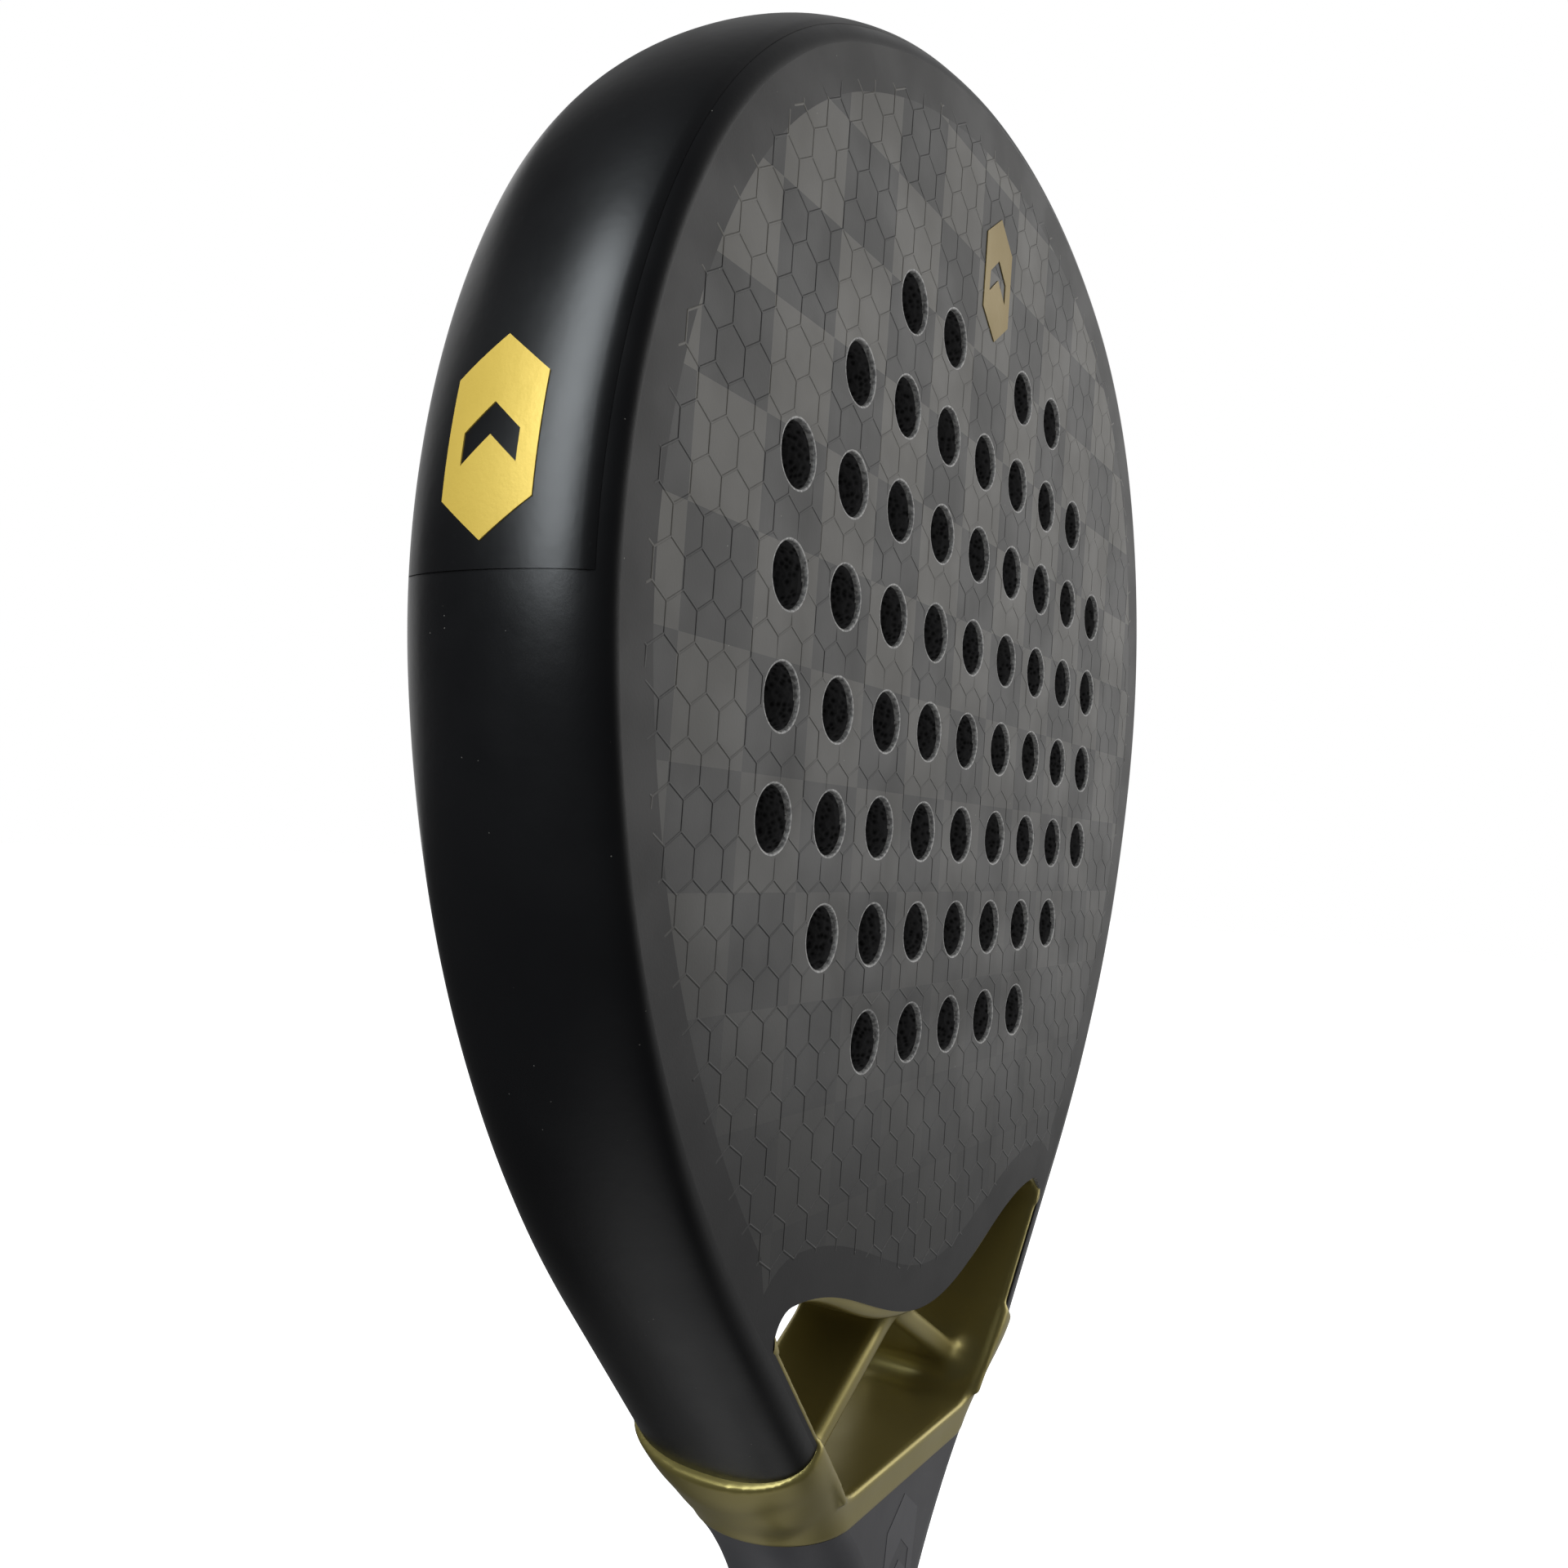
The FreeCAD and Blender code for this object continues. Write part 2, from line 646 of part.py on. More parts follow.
def throat_collar():
    """Gold sleeve that joins both arms to the neck; its top is the throat floor."""
    body = new_body("throat_collar")
    proud = size("collar_proud")
    length = size("arm_length")
    bottom = neck_half_width(COLLAR_Z) + proud
    right = [
        (bottom, COLLAR_Z),
        arm_point(length, -proud),
        arm_point(length, LINER),
        (arm_x(FLOOR_Z, LINER), FLOOR_Z),
    ]
    points = right + [mirrored(p) for p in reversed(right)]
    sketch = new_sketch(body, "XZ_Plane", "throat_collar_outline", chain(points))
    pad = new_pad(body, sketch, "throat_collar_pad", "Sizes.racket_thickness")
    doc.recompute()
    slope = math.dist(right[0], right[1])
    outer = [
        "Edge%d" % index
        for index, edge in enumerate(pad.Shape.Edges, start=1)
        if abs(edge.Length - slope) < SAME
        and abs(edge.CenterOfMass.x) > right[3][0]
        and abs(abs(edge.CenterOfMass.y) - HALF_THICK) < SAME
        and abs(edge.CenterOfMass.z - (right[0][1] + right[1][1]) / 2) < SAME
    ]
    fillet = body.newObject("PartDesign::Fillet", "throat_collar_rounding")
    fillet.Base = (pad, outer)
    fillet.setExpression("Radius", "Sizes.collar_round")
    # front and back slope in towards the neck
    foot = neck_half_depth(COLLAR_Z) + proud
    outside = HALF_THICK + 1
    wedge = [(foot, COLLAR_Z), (HALF_THICK, arm_point(length, 0)[1]), (outside, FLOOR_Z),
             (outside, COLLAR_Z - 1), (foot, COLLAR_Z - 1)]
    edges = chain(wedge) + chain([mirrored(p) for p in wedge])
    slopes = new_sketch(body, "YZ_Plane", "throat_collar_slopes", edges)
    pocket = body.newObject("PartDesign::Pocket", "throat_collar_taper")
    pocket.Profile = slopes
    pocket.SideType = "Symmetric"
    pocket.setExpression("Length", "Sizes.head_width")
    return body


# ---------------------------------------------------------------- handle

NECK_STEPS = 5


def neck_loft(body, name, kind, inset):
    """Loft of stadium sections from the straight handle up to the collar."""
    sections = []
    for step in range(NECK_STEPS + 1):
        z = HANDLE_TOP_Z + size("neck_length") * step / NECK_STEPS
        edges = stadium(neck_half_width(z) - inset, neck_half_depth(z) - inset)
        sections.append(new_sketch(body, "XY_Plane", "%s_%d" % (name, step), edges, z))
    loft = body.newObject("PartDesign::" + kind, name)
    loft.Profile = sections[0]
    loft.Sections = sections[1:]
    loft.Ruled = False
    return loft


def straight_handle(body, name, kind, inset):
    """The part of the handle with one section, above the butt cap's end."""
    half_width = size("handle_width") / 2 - inset
    half_depth = size("handle_depth") / 2 - inset
    edges = stadium(half_width, half_depth)
    sketch = new_sketch(body, "XY_Plane", name + "_section", edges, size("cap_base"))
    feature = body.newObject("PartDesign::" + kind, name)
    feature.Profile = sketch
    feature.SideType = "One side"
    feature.Reversed = kind == "Pocket"
    feature.setExpression("Length", "Sizes.handle_top - Sizes.cap_base")
    return feature


def handle_shell():
    """Hollow carbon neck and handle, one moulding."""
    body = new_body("handle_shell")
    straight_handle(body, "handle_outside", "Pad", 0.0)
    neck_loft(body, "neck_outside", "AdditiveLoft", 0.0)
    doc.recompute()
    straight_handle(body, "handle_inside", "Pocket", size("handle_wall"))
    neck_loft(body, "neck_inside", "SubtractiveLoft", size("handle_wall"))
    return body


def handle_core():
    """Foam that fills the handle and the neck."""
    body = new_body("handle_core")
    straight_handle(body, "core_straight", "Pad", size("handle_wall"))
    neck_loft(body, "core_neck", "AdditiveLoft", size("handle_wall"))
    return body


def grip_parts():
    """Base grip, finishing tape and rubber ring, each a sleeve on the last."""
    wrap = size("wrap_thickness")
    tape = wrap + size("tape_thickness")
    ring = wrap + size("ring_thickness")
    ring_z = HANDLE_TOP_Z - size("ring_height")
    tape_z = ring_z - size("tape_height")
    grip_height = "Sizes.handle_top - Sizes.cap_height"
    return [
        stadium_ring("grip_base_wrap", 0.0, wrap, size("cap_height"), grip_height),
        stadium_ring("grip_finish_tape", wrap, tape, tape_z, "Sizes.tape_height"),
        stadium_ring("grip_ring", wrap, ring, ring_z, "Sizes.ring_height"),
    ]


def butt_cap():
    """Flared end cap: socket for the handle, solid end with the strap hole."""
    body = new_body("butt_cap")
    half_width = size("handle_width") / 2
    half_depth = size("handle_depth") / 2
    flare = size("cap_flare")
    height = size("cap_height")
    # height above the end, and how far it stands out past the handle
    stations = [(up * height, out * flare) for up, out in CAP_STATIONS]
    stations.append((height, size("wrap_thickness") + size("cap_lip")))
    sections = [
        new_sketch(
            body, "XY_Plane", "butt_cap_%d" % index, stadium(half_width + g, half_depth + g), z
        )
        for index, (z, g) in enumerate(stations)
    ]
    loft = body.newObject("PartDesign::AdditiveLoft", "butt_cap_outside")
    loft.Profile = sections[0]
    loft.Sections = sections[1:]
    gap = size("cap_clearance")
    socket = new_sketch(
        body, "XY_Plane", "butt_cap_socket", stadium(half_width + gap, half_depth + gap),
        size("cap_base"),
    )
    pocket = body.newObject("PartDesign::Pocket", "butt_cap_hollow")
    pocket.Profile = socket
    pocket.SideType = "One side"
    pocket.Reversed = True
    pocket.setExpression("Length", "Sizes.cap_height")
    bore = circle_sketch(
        body, "XZ_Plane", "butt_cap_bore", [(0.0, size("strap_bore_height"))], "strap_bore"
    )
    cut_through(body, bore, "butt_cap_strap_hole")
    return body


# ---------------------------------------------------------------- decals

def emblem_edges(length, middle_x, middle_z):
    """Generic mark: a tall six-sided plate with a chevron-shaped window."""
    tip = length / 2
    half_width = length * MARK_HALF_WIDTH
    shoulder = length * MARK_SHOULDER
    plate = [
        (0, tip), (half_width, shoulder), (half_width, -shoulder),
        (0, -tip), (-half_width, -shoulder), (-half_width, shoulder),
    ]
    wing = length * CHEVRON_HALF_WIDTH
    side = length * CHEVRON_SIDE
    foot = length * CHEVRON_FOOT
    window = [
        (0, length * CHEVRON_TIP), (wing, side), (wing, foot),
        (0, 0.0), (-wing, foot), (-wing, side),
    ]
    moved = [[(middle_x + x, middle_z + z) for x, z in points] for points in (plate, window)]
    return chain(moved[0]) + chain(moved[1])


def face_emblem(label, front):
    body = new_body(label)
    edges = emblem_edges(
        size("face_emblem_length"), 0.0, HOLE_ROW_Z + size("face_emblem_rise")
    )
    offset = HALF_THICK if front else -HALF_THICK - size("emblem_thickness")
    sketch = new_sketch(body, "XZ_Plane", label + "_outline", edges, offset)
    new_pad(body, sketch, label + "_pad", "Sizes.emblem_thickness", symmetric=False)
    return body


def neck_emblem(label, front):
    """Decal on the sloping front or back of the neck, tilted to lie on it."""
    body = new_body(label)
    length = size("neck_emblem_length")
    middle = COLLAR_Z - size("neck_emblem_drop")
    low = neck_half_depth(middle - length / 2)
    high = neck_half_depth(middle + length / 2)
    sketch = new_sketch(body, "XZ_Plane", label + "_outline", emblem_edges(length, 0.0, 0.0))
    new_pad(body, sketch, label + "_pad", "Sizes.emblem_thickness", symmetric=False)
    # the neck's surface bulges a little past the straight line between the decal's ends
    shares = [step / NECK_STEPS for step in range(NECK_STEPS + 1)]
    bulge = max(
        neck_half_depth(middle + (share - 0.5) * length) - low - share * (high - low)
        for share in shares
    )
    tilt = math.degrees(math.atan2(high - low, length))
    placement = FreeCAD.Placement(
        FreeCAD.Vector(0, -(low + high) / 2 - bulge, middle),
        FreeCAD.Rotation(FreeCAD.Vector(1, 0, 0), tilt),
    )
    if not front:
        half_turn = FreeCAD.Rotation(FreeCAD.Vector(0, 0, 1), 180)
        placement = FreeCAD.Placement(FreeCAD.Vector(), half_turn) * placement
    body.Placement = placement
    return body


def rim_slab(grow):
    """The rim's rounded section, turned about the middle of the side arc."""
    cx, cz, radius, start, end = ARCS[2]

    def place(y, inward):
        reach = radius - inward
        return FreeCAD.Vector(cx + reach * math.sin(start), y, cz + reach * math.cos(start))

    outer = CROWN + grow
    half = size("film_width") / 2
    side = CROWN - math.sqrt(outer**2 - half**2)
    inner = size("crown_depth")
    rim = Part.Arc(place(-half, side), place(0, -grow), place(half, side)).toShape()
    rest = Part.makePolygon(
        [place(half, side), place(half, inner), place(-half, inner), place(-half, side)]
    )
    face = Part.Face(Part.Wire([rim] + rest.Edges))
    turn = math.degrees(end - start)
    return face.revolve(FreeCAD.Vector(cx, 0, cz), FreeCAD.Vector(0, 1, 0), turn)


def side_emblem(label, side):
    """Decal on the protector film, following the rim's curve."""
    length = size("side_emblem_length")
    middle = TIP_Z - size("side_emblem_drop")
    film = size("film_thickness")
    layer = rim_slab(film + size("emblem_thickness")).cut(rim_slab(film))
    edges = emblem_edges(length, 0.0, middle)
    wires = []
    for loop in (edges[:6], edges[6:]):
        corners = [FreeCAD.Vector(0, e.StartPoint.x, e.StartPoint.y) for e in loop]
        wires.append(Part.makePolygon(corners + corners[:1]))
    outline = Part.Face(wires[0]).cut(Part.Face(wires[1]))
    prism = outline.extrude(FreeCAD.Vector(size("head_width"), 0, 0))
    feature = doc.addObject("Part::Feature", label)
    feature.Label = label
    feature.Shape = layer.common(prism)
    if side < 0:
        half_turn = FreeCAD.Rotation(FreeCAD.Vector(0, 0, 1), 180)
        feature.Placement = FreeCAD.Placement(FreeCAD.Vector(), half_turn)
    return feature


# ---------------------------------------------------------------- build

def build():
    pieces = [head_frame_tube(), head_frame_foam(), edge_film()]
    for name, side in (("left", -1), ("right", 1)):
        outside = tube_edges(arm_place, 0) + cavity_edges(arm_place)
        pieces.append(arm("throat_arm_" + name, side, outside))
        pieces.append(arm("throat_arm_foam_" + name, side, cavity_edges(arm_place)))
        pieces.append(throat_liner("throat_liner_" + name, side))
        pieces.append(strut("throat_strut_" + name, side))
        pieces.append(side_emblem("side_emblem_" + name, side))
    for name, front in (("front", True), ("back", False)):
        pieces.append(face_skin("face_skin_" + name, front))
        pieces.append(face_emblem("face_emblem_" + name, front))
        pieces.append(neck_emblem("neck_emblem_" + name, front))
    pieces += [head_core(), throat_bridge(), throat_collar()]
    pieces += [handle_shell(), handle_core(), butt_cap()]
    pieces += grip_parts()
    return pieces


def check(pieces):
    """Stop before anything is written if a feature failed or a shape is unsound."""
    for item in doc.Objects:
        if "Invalid" in item.State or "Error" in item.State:
            raise RuntimeError("%s failed: %s" % (item.Name, item.State))
    for piece in pieces:
        if piece.Shape.isNull() or not piece.Shape.isValid() or not piece.Shape.Solids:
            raise RuntimeError("%s has no sound solid" % piece.Label)


def export(pieces):
    os.makedirs("parts", exist_ok=True)
    for piece in pieces:
        piece.Shape.exportStep("parts/%s.step" % piece.Label)


PIECES = build()
doc.recompute()
check(PIECES)
export(PIECES)
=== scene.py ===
"""Looks of a padel racket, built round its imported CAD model.

Outlines and constants are in millimetres and turn into metres when a mesh is made.
Materials, lights and the camera are in metres.
"""
import math

import bmesh
import bpy
import numpy as np
from mathutils import Matrix, Vector
from mathutils.geometry import delaunay_2d_cdt


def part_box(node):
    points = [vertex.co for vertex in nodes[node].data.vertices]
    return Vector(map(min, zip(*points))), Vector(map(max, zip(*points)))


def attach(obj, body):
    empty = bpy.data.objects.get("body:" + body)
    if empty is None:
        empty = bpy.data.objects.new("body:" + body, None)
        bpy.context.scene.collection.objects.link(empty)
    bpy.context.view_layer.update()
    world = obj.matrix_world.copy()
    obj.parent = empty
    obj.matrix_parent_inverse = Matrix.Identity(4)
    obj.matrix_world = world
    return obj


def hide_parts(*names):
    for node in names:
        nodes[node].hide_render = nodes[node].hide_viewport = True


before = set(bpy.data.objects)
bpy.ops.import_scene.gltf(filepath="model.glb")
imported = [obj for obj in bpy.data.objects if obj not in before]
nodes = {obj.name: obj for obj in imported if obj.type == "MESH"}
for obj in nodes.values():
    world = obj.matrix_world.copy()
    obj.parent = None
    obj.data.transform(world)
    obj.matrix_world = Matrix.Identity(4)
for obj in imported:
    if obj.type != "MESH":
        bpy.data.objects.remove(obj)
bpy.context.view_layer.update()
MM = 0.001
rng = np.random.default_rng(20)


def node_box(name):
    """Lowest and highest corner of a CAD node, in millimetres."""
    low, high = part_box(name)
    return np.array(low) / MM, np.array(high) / MM


HEAD_HALF_WIDTH, _, TIP_Z = node_box("head_frame_tube")[1]
HALF = -node_box("face_skin_front")[0][1]  # half the racket's thickness

# ---------------------------------------------------------------- outline
# The right half from the tip: tangent arcs, each with its radius and the heading at its end in
# degrees turned from level, and then a straight arm.
ARC_RADII = (158.646, 101.0, 126.4, 204.7)
ARC_ENDS = (26.6, 63.4, 98.9, 130.7)
ARM_RUN = 42.0
ARM_WIDTH = 10.6
# how far in the rim's rounding reaches at the head and at the arms, and where one becomes the other
HEAD_DEPTH = 6.9
ARM_DEPTH = 9.6
ARM_BLEND = (190, 285)
# the rounding is a superellipse: its power at the head, and what the arms add
HEAD_POWER = 2.0
ARM_POWER = 0.3
NECK_HALF_DEPTH = 15.8
HOLE_PITCH = 19.5
HOLE_RADIUS = 5.5
HOLE_ROW_Z = TIP_Z - 134.8
# rows counted down from HOLE_ROW_Z, with the columns that have a hole
HOLE_ROWS = ((-4, (-2, -1, 1, 2)), (-3, range(-3, 4)), (-2, range(-4, 5)), (-1, range(-4, 5)),
             (0, range(-4, 5)), (1, range(-4, 5)), (2, range(-3, 4)), (3, range(-2, 3)))


def smoothstep(a, b, x):
    """0 below a, 1 above b, and a smooth change between."""
    t = np.clip((x - a) / (b - a), 0, 1)
    return t * t * (3 - 2 * t)


def half_outline(step=2.0):
    """Stations down the right side: x, z, heading in radians."""
    x, z, heading = 0.0, TIP_Z, 0.0
    stations = [(x, z, heading)]
    for radius, end in zip(ARC_RADII, ARC_ENDS):
        end = math.radians(end)
        cx, cz = x - radius * math.sin(heading), z - radius * math.cos(heading)
        count = max(2, int(radius * (end - heading) / step))
        for turn in np.linspace(heading, end, count + 1)[1:]:
            stations.append((cx + radius * math.sin(turn), cz + radius * math.cos(turn), turn))
        x, z, heading = stations[-1]
    count = int(ARM_RUN / step)
    right, down = math.cos(heading), math.sin(heading)
    for run in np.linspace(0, ARM_RUN, count + 1)[1:]:
        stations.append((x + run * right, z - run * down, heading))
    return np.array(stations)


RIGHT = half_outline()
LEFT = RIGHT[:0:-1].copy()
LEFT[:, 0] *= -1
LEFT[:, 2] *= -1
OUTLINE = np.vstack([LEFT, RIGHT])
NORMALS = np.column_stack([np.sin(OUTLINE[:, 2]), np.cos(OUTLINE[:, 2])])


def arm_share(z):
    """1 at the height of the arms, 0 at the head."""
    return 1 - smoothstep(*ARM_BLEND, z)


def crown_depth(z):
    """How far in the rim's rounding reaches at a height."""
    return HEAD_DEPTH + (ARM_DEPTH - HEAD_DEPTH) * arm_share(z)


def inset_outline(amount):
    """The outline moved inwards, by a number or one number per station."""
    return OUTLINE[:, :2] - NORMALS * np.reshape(amount, (-1, 1))


def crown_points(station, turns, grow=0.0):
    """Rounded rim at one station, moved outwards by grow; turns run from -1 at the front edge
    to 1 at the back."""
    x, z, heading = OUTLINE[station]
    depth = crown_depth(z)
    power = 2 / (HEAD_POWER + ARM_POWER * arm_share(z))
    angle = turns * math.pi / 2
    y = HALF * np.sign(angle) * np.abs(np.sin(angle)) ** power
    inward = depth * (1 - np.abs(np.cos(angle)) ** power)
    if np.any(grow):
        ny = np.sign(angle) * np.abs(np.sin(angle)) ** (2 - power) / HALF
        nr = np.abs(np.cos(angle)) ** (2 - power) / depth
        size = np.hypot(ny, nr)
        y = y + grow * ny / size
        inward = inward - grow * nr / size
    nx, nz = NORMALS[station]
    return np.column_stack([x - inward * nx, y, z - inward * nz])


# ---------------------------------------------------------------- meshes

def add_object(name, verts, faces, materials, replaces=(), ids=None):
    """A piece of the racket, from points in millimetres; ids gives each face its material."""
    mesh = bpy.data.meshes.new(name)
    mesh.from_pydata([tuple(v) for v in np.asarray(verts, float) * MM], [], faces)
    mesh.validate()
    obj = bpy.data.objects.new(name, mesh)
    bpy.context.collection.objects.link(obj)
    for material in materials:
        mesh.materials.append(material)
    if ids is not None:
        mesh.polygons.foreach_set("material_index", ids)
    mesh.polygons.foreach_set("use_smooth", [True] * len(mesh.polygons))
    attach(obj, "root")
    if replaces:
        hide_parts(*replaces)
    return obj


def grid_faces(rows, columns, closed=False):
    """Quads between rows of points; closed joins each row's last point to its first."""
    faces = []
    for i in range(rows - 1):
        row, above = i * columns, (i + 1) * columns
        for j in range(columns if closed else columns - 1):
            k = (j + 1) % columns
            faces.append((row + j, row + k, above + k, above + j))
    return faces


def fix_normals(obj):
    """Turn every face of a closed mesh outwards."""
    bm = bmesh.new()
    bm.from_mesh(obj.data)
    bmesh.ops.recalc_face_normals(bm, faces=bm.faces)
    bm.to_mesh(obj.data)
    bm.free()


def sharpen(obj, degrees=35):
    """Mark the edges that turn more than this as sharp."""
    obj.data.set_sharp_from_angle(angle=math.radians(degrees))


def add_loop(points, edges, loop):
    """Add a closed loop to the points and edges of a triangulation."""
    start = len(points)
    points += [Vector(p) for p in loop]
    edges += [(start + i, start + (i + 1) % len(loop)) for i in range(len(loop))]


def triangulate(points, edges, tolerance):
    """Points, triangles, and the middle of each triangle."""
    flat, _, triangles, _, _, _ = delaunay_2d_cdt(points, edges, [], 0, tolerance)
    flat = np.array([tuple(p) for p in flat])
    middle = np.array([flat[list(t)].mean(axis=0) for t in triangles])
    return flat, triangles, middle


# ---------------------------------------------------------------- materials

class Tree:
    """Short way to write a node tree."""

    def __init__(self, tree):
        self.tree = tree

    def add(self, kind, inputs=None, **settings):
        node = self.tree.nodes.new(kind)
        for key, value in settings.items():
            setattr(node, key, value)
        for key, value in (inputs or {}).items():
            self.put(node.inputs[key], value)
        return node

    def put(self, socket, value):
        """Give a socket a value, or a link from another node's output."""
        if isinstance(value, bpy.types.NodeSocket):
            self.tree.links.new(value, socket)
        else:
            socket.default_value = value

    def math(self, operation, a, b=0.0):
        return self.add("ShaderNodeMath", {0: a, 1: b}, operation=operation).outputs[0]

    def ramp(self, value, low, high, out_low=0.0, out_high=1.0):
        """Smooth change from out_low to out_high as the value goes from low to high."""
        inputs = {"Value": value, "From Min": low, "From Max": high,
                  "To Min": out_low, "To Max": out_high}
        node = self.add("ShaderNodeMapRange", inputs, interpolation_type="SMOOTHSTEP")
        return node.outputs["Result"]


class Nodes(Tree):
    """A new material's node tree."""

    def __init__(self, name):
        self.material = bpy.data.materials.new(name)
        self.material.use_nodes = True
        super().__init__(self.material.node_tree)
        self.shader = self.tree.nodes["Principled BSDF"]
        self.object_co = self.add("ShaderNodeTexCoord").outputs["Object"]

    def noise(self, scale, detail=3.0, rough=0.5):
        inputs = {"Vector": self.object_co, "Scale": scale, "Detail": detail, "Roughness": rough}
        return self.add("ShaderNodeTexNoise", inputs).outputs["Fac"]

    def voronoi(self, scale):
        return self.add("ShaderNodeTexVoronoi", {"Vector": self.object_co, "Scale": scale})

    def mix(self, factor, a, b):
        node = self.add("ShaderNodeMix", {"Factor": factor}, data_type="RGBA")
        self.put(node.inputs["A"], a if isinstance(a, bpy.types.NodeSocket) else (*a, 1))
        self.put(node.inputs["B"], b if isinstance(b, bpy.types.NodeSocket) else (*b, 1))
        return node.outputs["Result"]

    def bump(self, height, distance, strength=1.0, under=None):
        """Bump of a height in metres, on top of another one where given."""
        node = self.add("ShaderNodeBump", {"Strength": strength, "Distance": distance})
        self.put(node.inputs["Height"], height)
        if under is not None:
            self.put(node.inputs["Normal"], under)
        return node.outputs["Normal"]

    def finish(self, color, roughness, normal=None, **constants):
        """Wire up the shader; a constant such as Coat_Weight sets its input Coat Weight."""
        self.put(self.shader.inputs["Base Color"], color)
        self.put(self.shader.inputs["Roughness"], roughness)
        if normal is not None:
            self.put(self.shader.inputs["Normal"], normal)
        for key, value in constants.items():
            self.shader.inputs[key.replace("_", " ")].default_value = value
        return self.material

    def specks(self, scale, size, share):
        """1 on small dust specks, on the given share of the cells."""
        cells = self.voronoi(scale)
        near = self.ramp(cells.outputs["Distance"], size, size * 0.5)
        channel = self.add("ShaderNodeSeparateColor", {0: cells.outputs["Color"]})
        chosen = self.math("LESS_THAN", channel.outputs[0], share)
        return self.math("MULTIPLY", near, chosen)


# lacquer: scale of its slow waves, bump heights in metres, size of a dust speck in its cell, and
# the roughness of a coat
PEEL_SCALE = 420
PEEL_HEIGHT = 0.00002
GRAIN_HEIGHT = 0.000006
WEAVE_GRAIN_HEIGHT = 0.000012
SPECK_SIZE = 0.05
COAT_ROUGHNESS = 0.22


def lacquer(name, dark, light, rough, grain=1.0, dust=0.4, coat=0.0, **constants):
    """Satin lacquer: slow cloudiness, orange peel, fine grain and a little dust."""
    n = Nodes(name)
    color = n.mix(n.ramp(n.noise(14, 2), 0.35, 0.65), dark, light)
    specks = n.math("MULTIPLY", n.specks(420, SPECK_SIZE, dust), 0.5)
    color = n.mix(specks, color, (0.30, 0.29, 0.26))
    roughness = n.ramp(n.noise(60, 3), 0.3, 0.7, rough - 0.03, rough + 0.04)
    peel = n.bump(n.noise(PEEL_SCALE, 2), PEEL_HEIGHT * grain)
    normal = n.bump(n.noise(2600, 2), GRAIN_HEIGHT * grain, under=peel)
    return n.finish(color, roughness, normal, Coat_Weight=coat, Coat_Roughness=COAT_ROUGHNESS,
                    **constants)


# squares of the weave, every other one lighter as painted sheen: their size and one corner, and the
# heights in metres between which the painted sheen goes from a faint strength to the full one
CHECK_WIDE = 19.7
CHECK_TALL = 18.45
CHECK_X = -49.3
CHECK_Z = 381.2
CHECK_FADE_FROM = 0.235
CHECK_FADE_TO = 0.40
CHECK_FAINT = 0.10


def painted_weave_sheen(n):
    """Painted sheen of the weave: every other square lighter in colour, less so towards the throat.
    """
    place = n.add("ShaderNodeSeparateXYZ", {0: n.object_co})

    def count(axis, start, pitch):
        offset = n.math("SUBTRACT", place.outputs[axis], start * MM)
        return n.math("FLOOR", n.math("DIVIDE", offset, pitch * MM))

    squares = n.math("ADD", count("X", CHECK_X, CHECK_WIDE), count("Z", CHECK_Z, CHECK_TALL))
    light = n.math("MODULO", n.math("ABSOLUTE", squares), 2.0)
    fade = n.ramp(place.outputs["Z"], CHECK_FADE_FROM, CHECK_FADE_TO, CHECK_FAINT, 1.0)
    tow = n.ramp(n.noise(24, 1), 0.35, 0.65, 0.75, 1.0)
    return n.math("MULTIPLY", n.math("MULTIPLY", light, fade), tow)


def carbon(name, checked=True):
    """Matt lacquer over carbon, with the weave's sheen painted as lighter squares where checked."""
    n = Nodes(name)
    cloud = n.ramp(n.noise(9, 2), 0.3, 0.7)
    roughness = n.ramp(n.noise(70, 3), 0.3, 0.7, 0.44, 0.50)
    if checked:
        amount = painted_weave_sheen(n)
        base = n.mix(cloud, (0.0135, 0.0135, 0.0140), (0.0170, 0.0168, 0.0168))
        # painted sheen: the squares that catch the light get a lighter, warmer base colour
        base = n.mix(amount, base, (0.105, 0.099, 0.084))
        roughness = n.math("SUBTRACT", roughness, n.math("MULTIPLY", amount, 0.03))
    else:
        base = n.mix(cloud, (0.0085, 0.0078, 0.0090), (0.0105, 0.0098, 0.0110))
        n.shader.inputs["Specular IOR Level"].default_value = 0.36
    specks = n.math("MULTIPLY", n.specks(400, SPECK_SIZE, 0.15), 0.6)
    base = n.mix(specks, base, (0.45, 0.44, 0.40))
    return n.finish(base, roughness, n.bump(n.noise(2300, 3, 0.6), WEAVE_GRAIN_HEIGHT))


satin_black = lacquer("satin_black_lacquer", (0.0040, 0.0040, 0.0046), (0.0060, 0.0060, 0.0068), 0.33)
face_band = carbon("face_band_lacquer", checked=False)
face_field = carbon("face_weave_lacquer")
gold = lacquer("gold_lacquer", (0.33, 0.278, 0.090), (0.40, 0.34, 0.12), 0.36,
               dust=0.0, coat=0.15, Metallic=0.72)
bright_gold = lacquer("gold_foil", (0.70, 0.49, 0.08), (0.80, 0.58, 0.11), 0.42,
                      grain=3.0, dust=0.0, Metallic=0.25)
neck_grey = lacquer("neck_lacquer", (0.060, 0.060, 0.067), (0.072, 0.072, 0.080), 0.40)
grey_print = lacquer("grey_print", (0.095, 0.095, 0.105), (0.110, 0.110, 0.120), 0.42, dust=0.0)
dim_gold = lacquer("gold_print", (0.25, 0.18, 0.055), (0.30, 0.22, 0.07), 0.45,
                   grain=3.0, dust=0.0, Metallic=0.4)
tape_black = lacquer("finishing_tape", (0.008, 0.008, 0.009), (0.012, 0.012, 0.013), 0.36, grain=2.0)
moulded = lacquer("moulded_black", (0.012, 0.012, 0.013), (0.018, 0.018, 0.019), 0.50, grain=4.0)
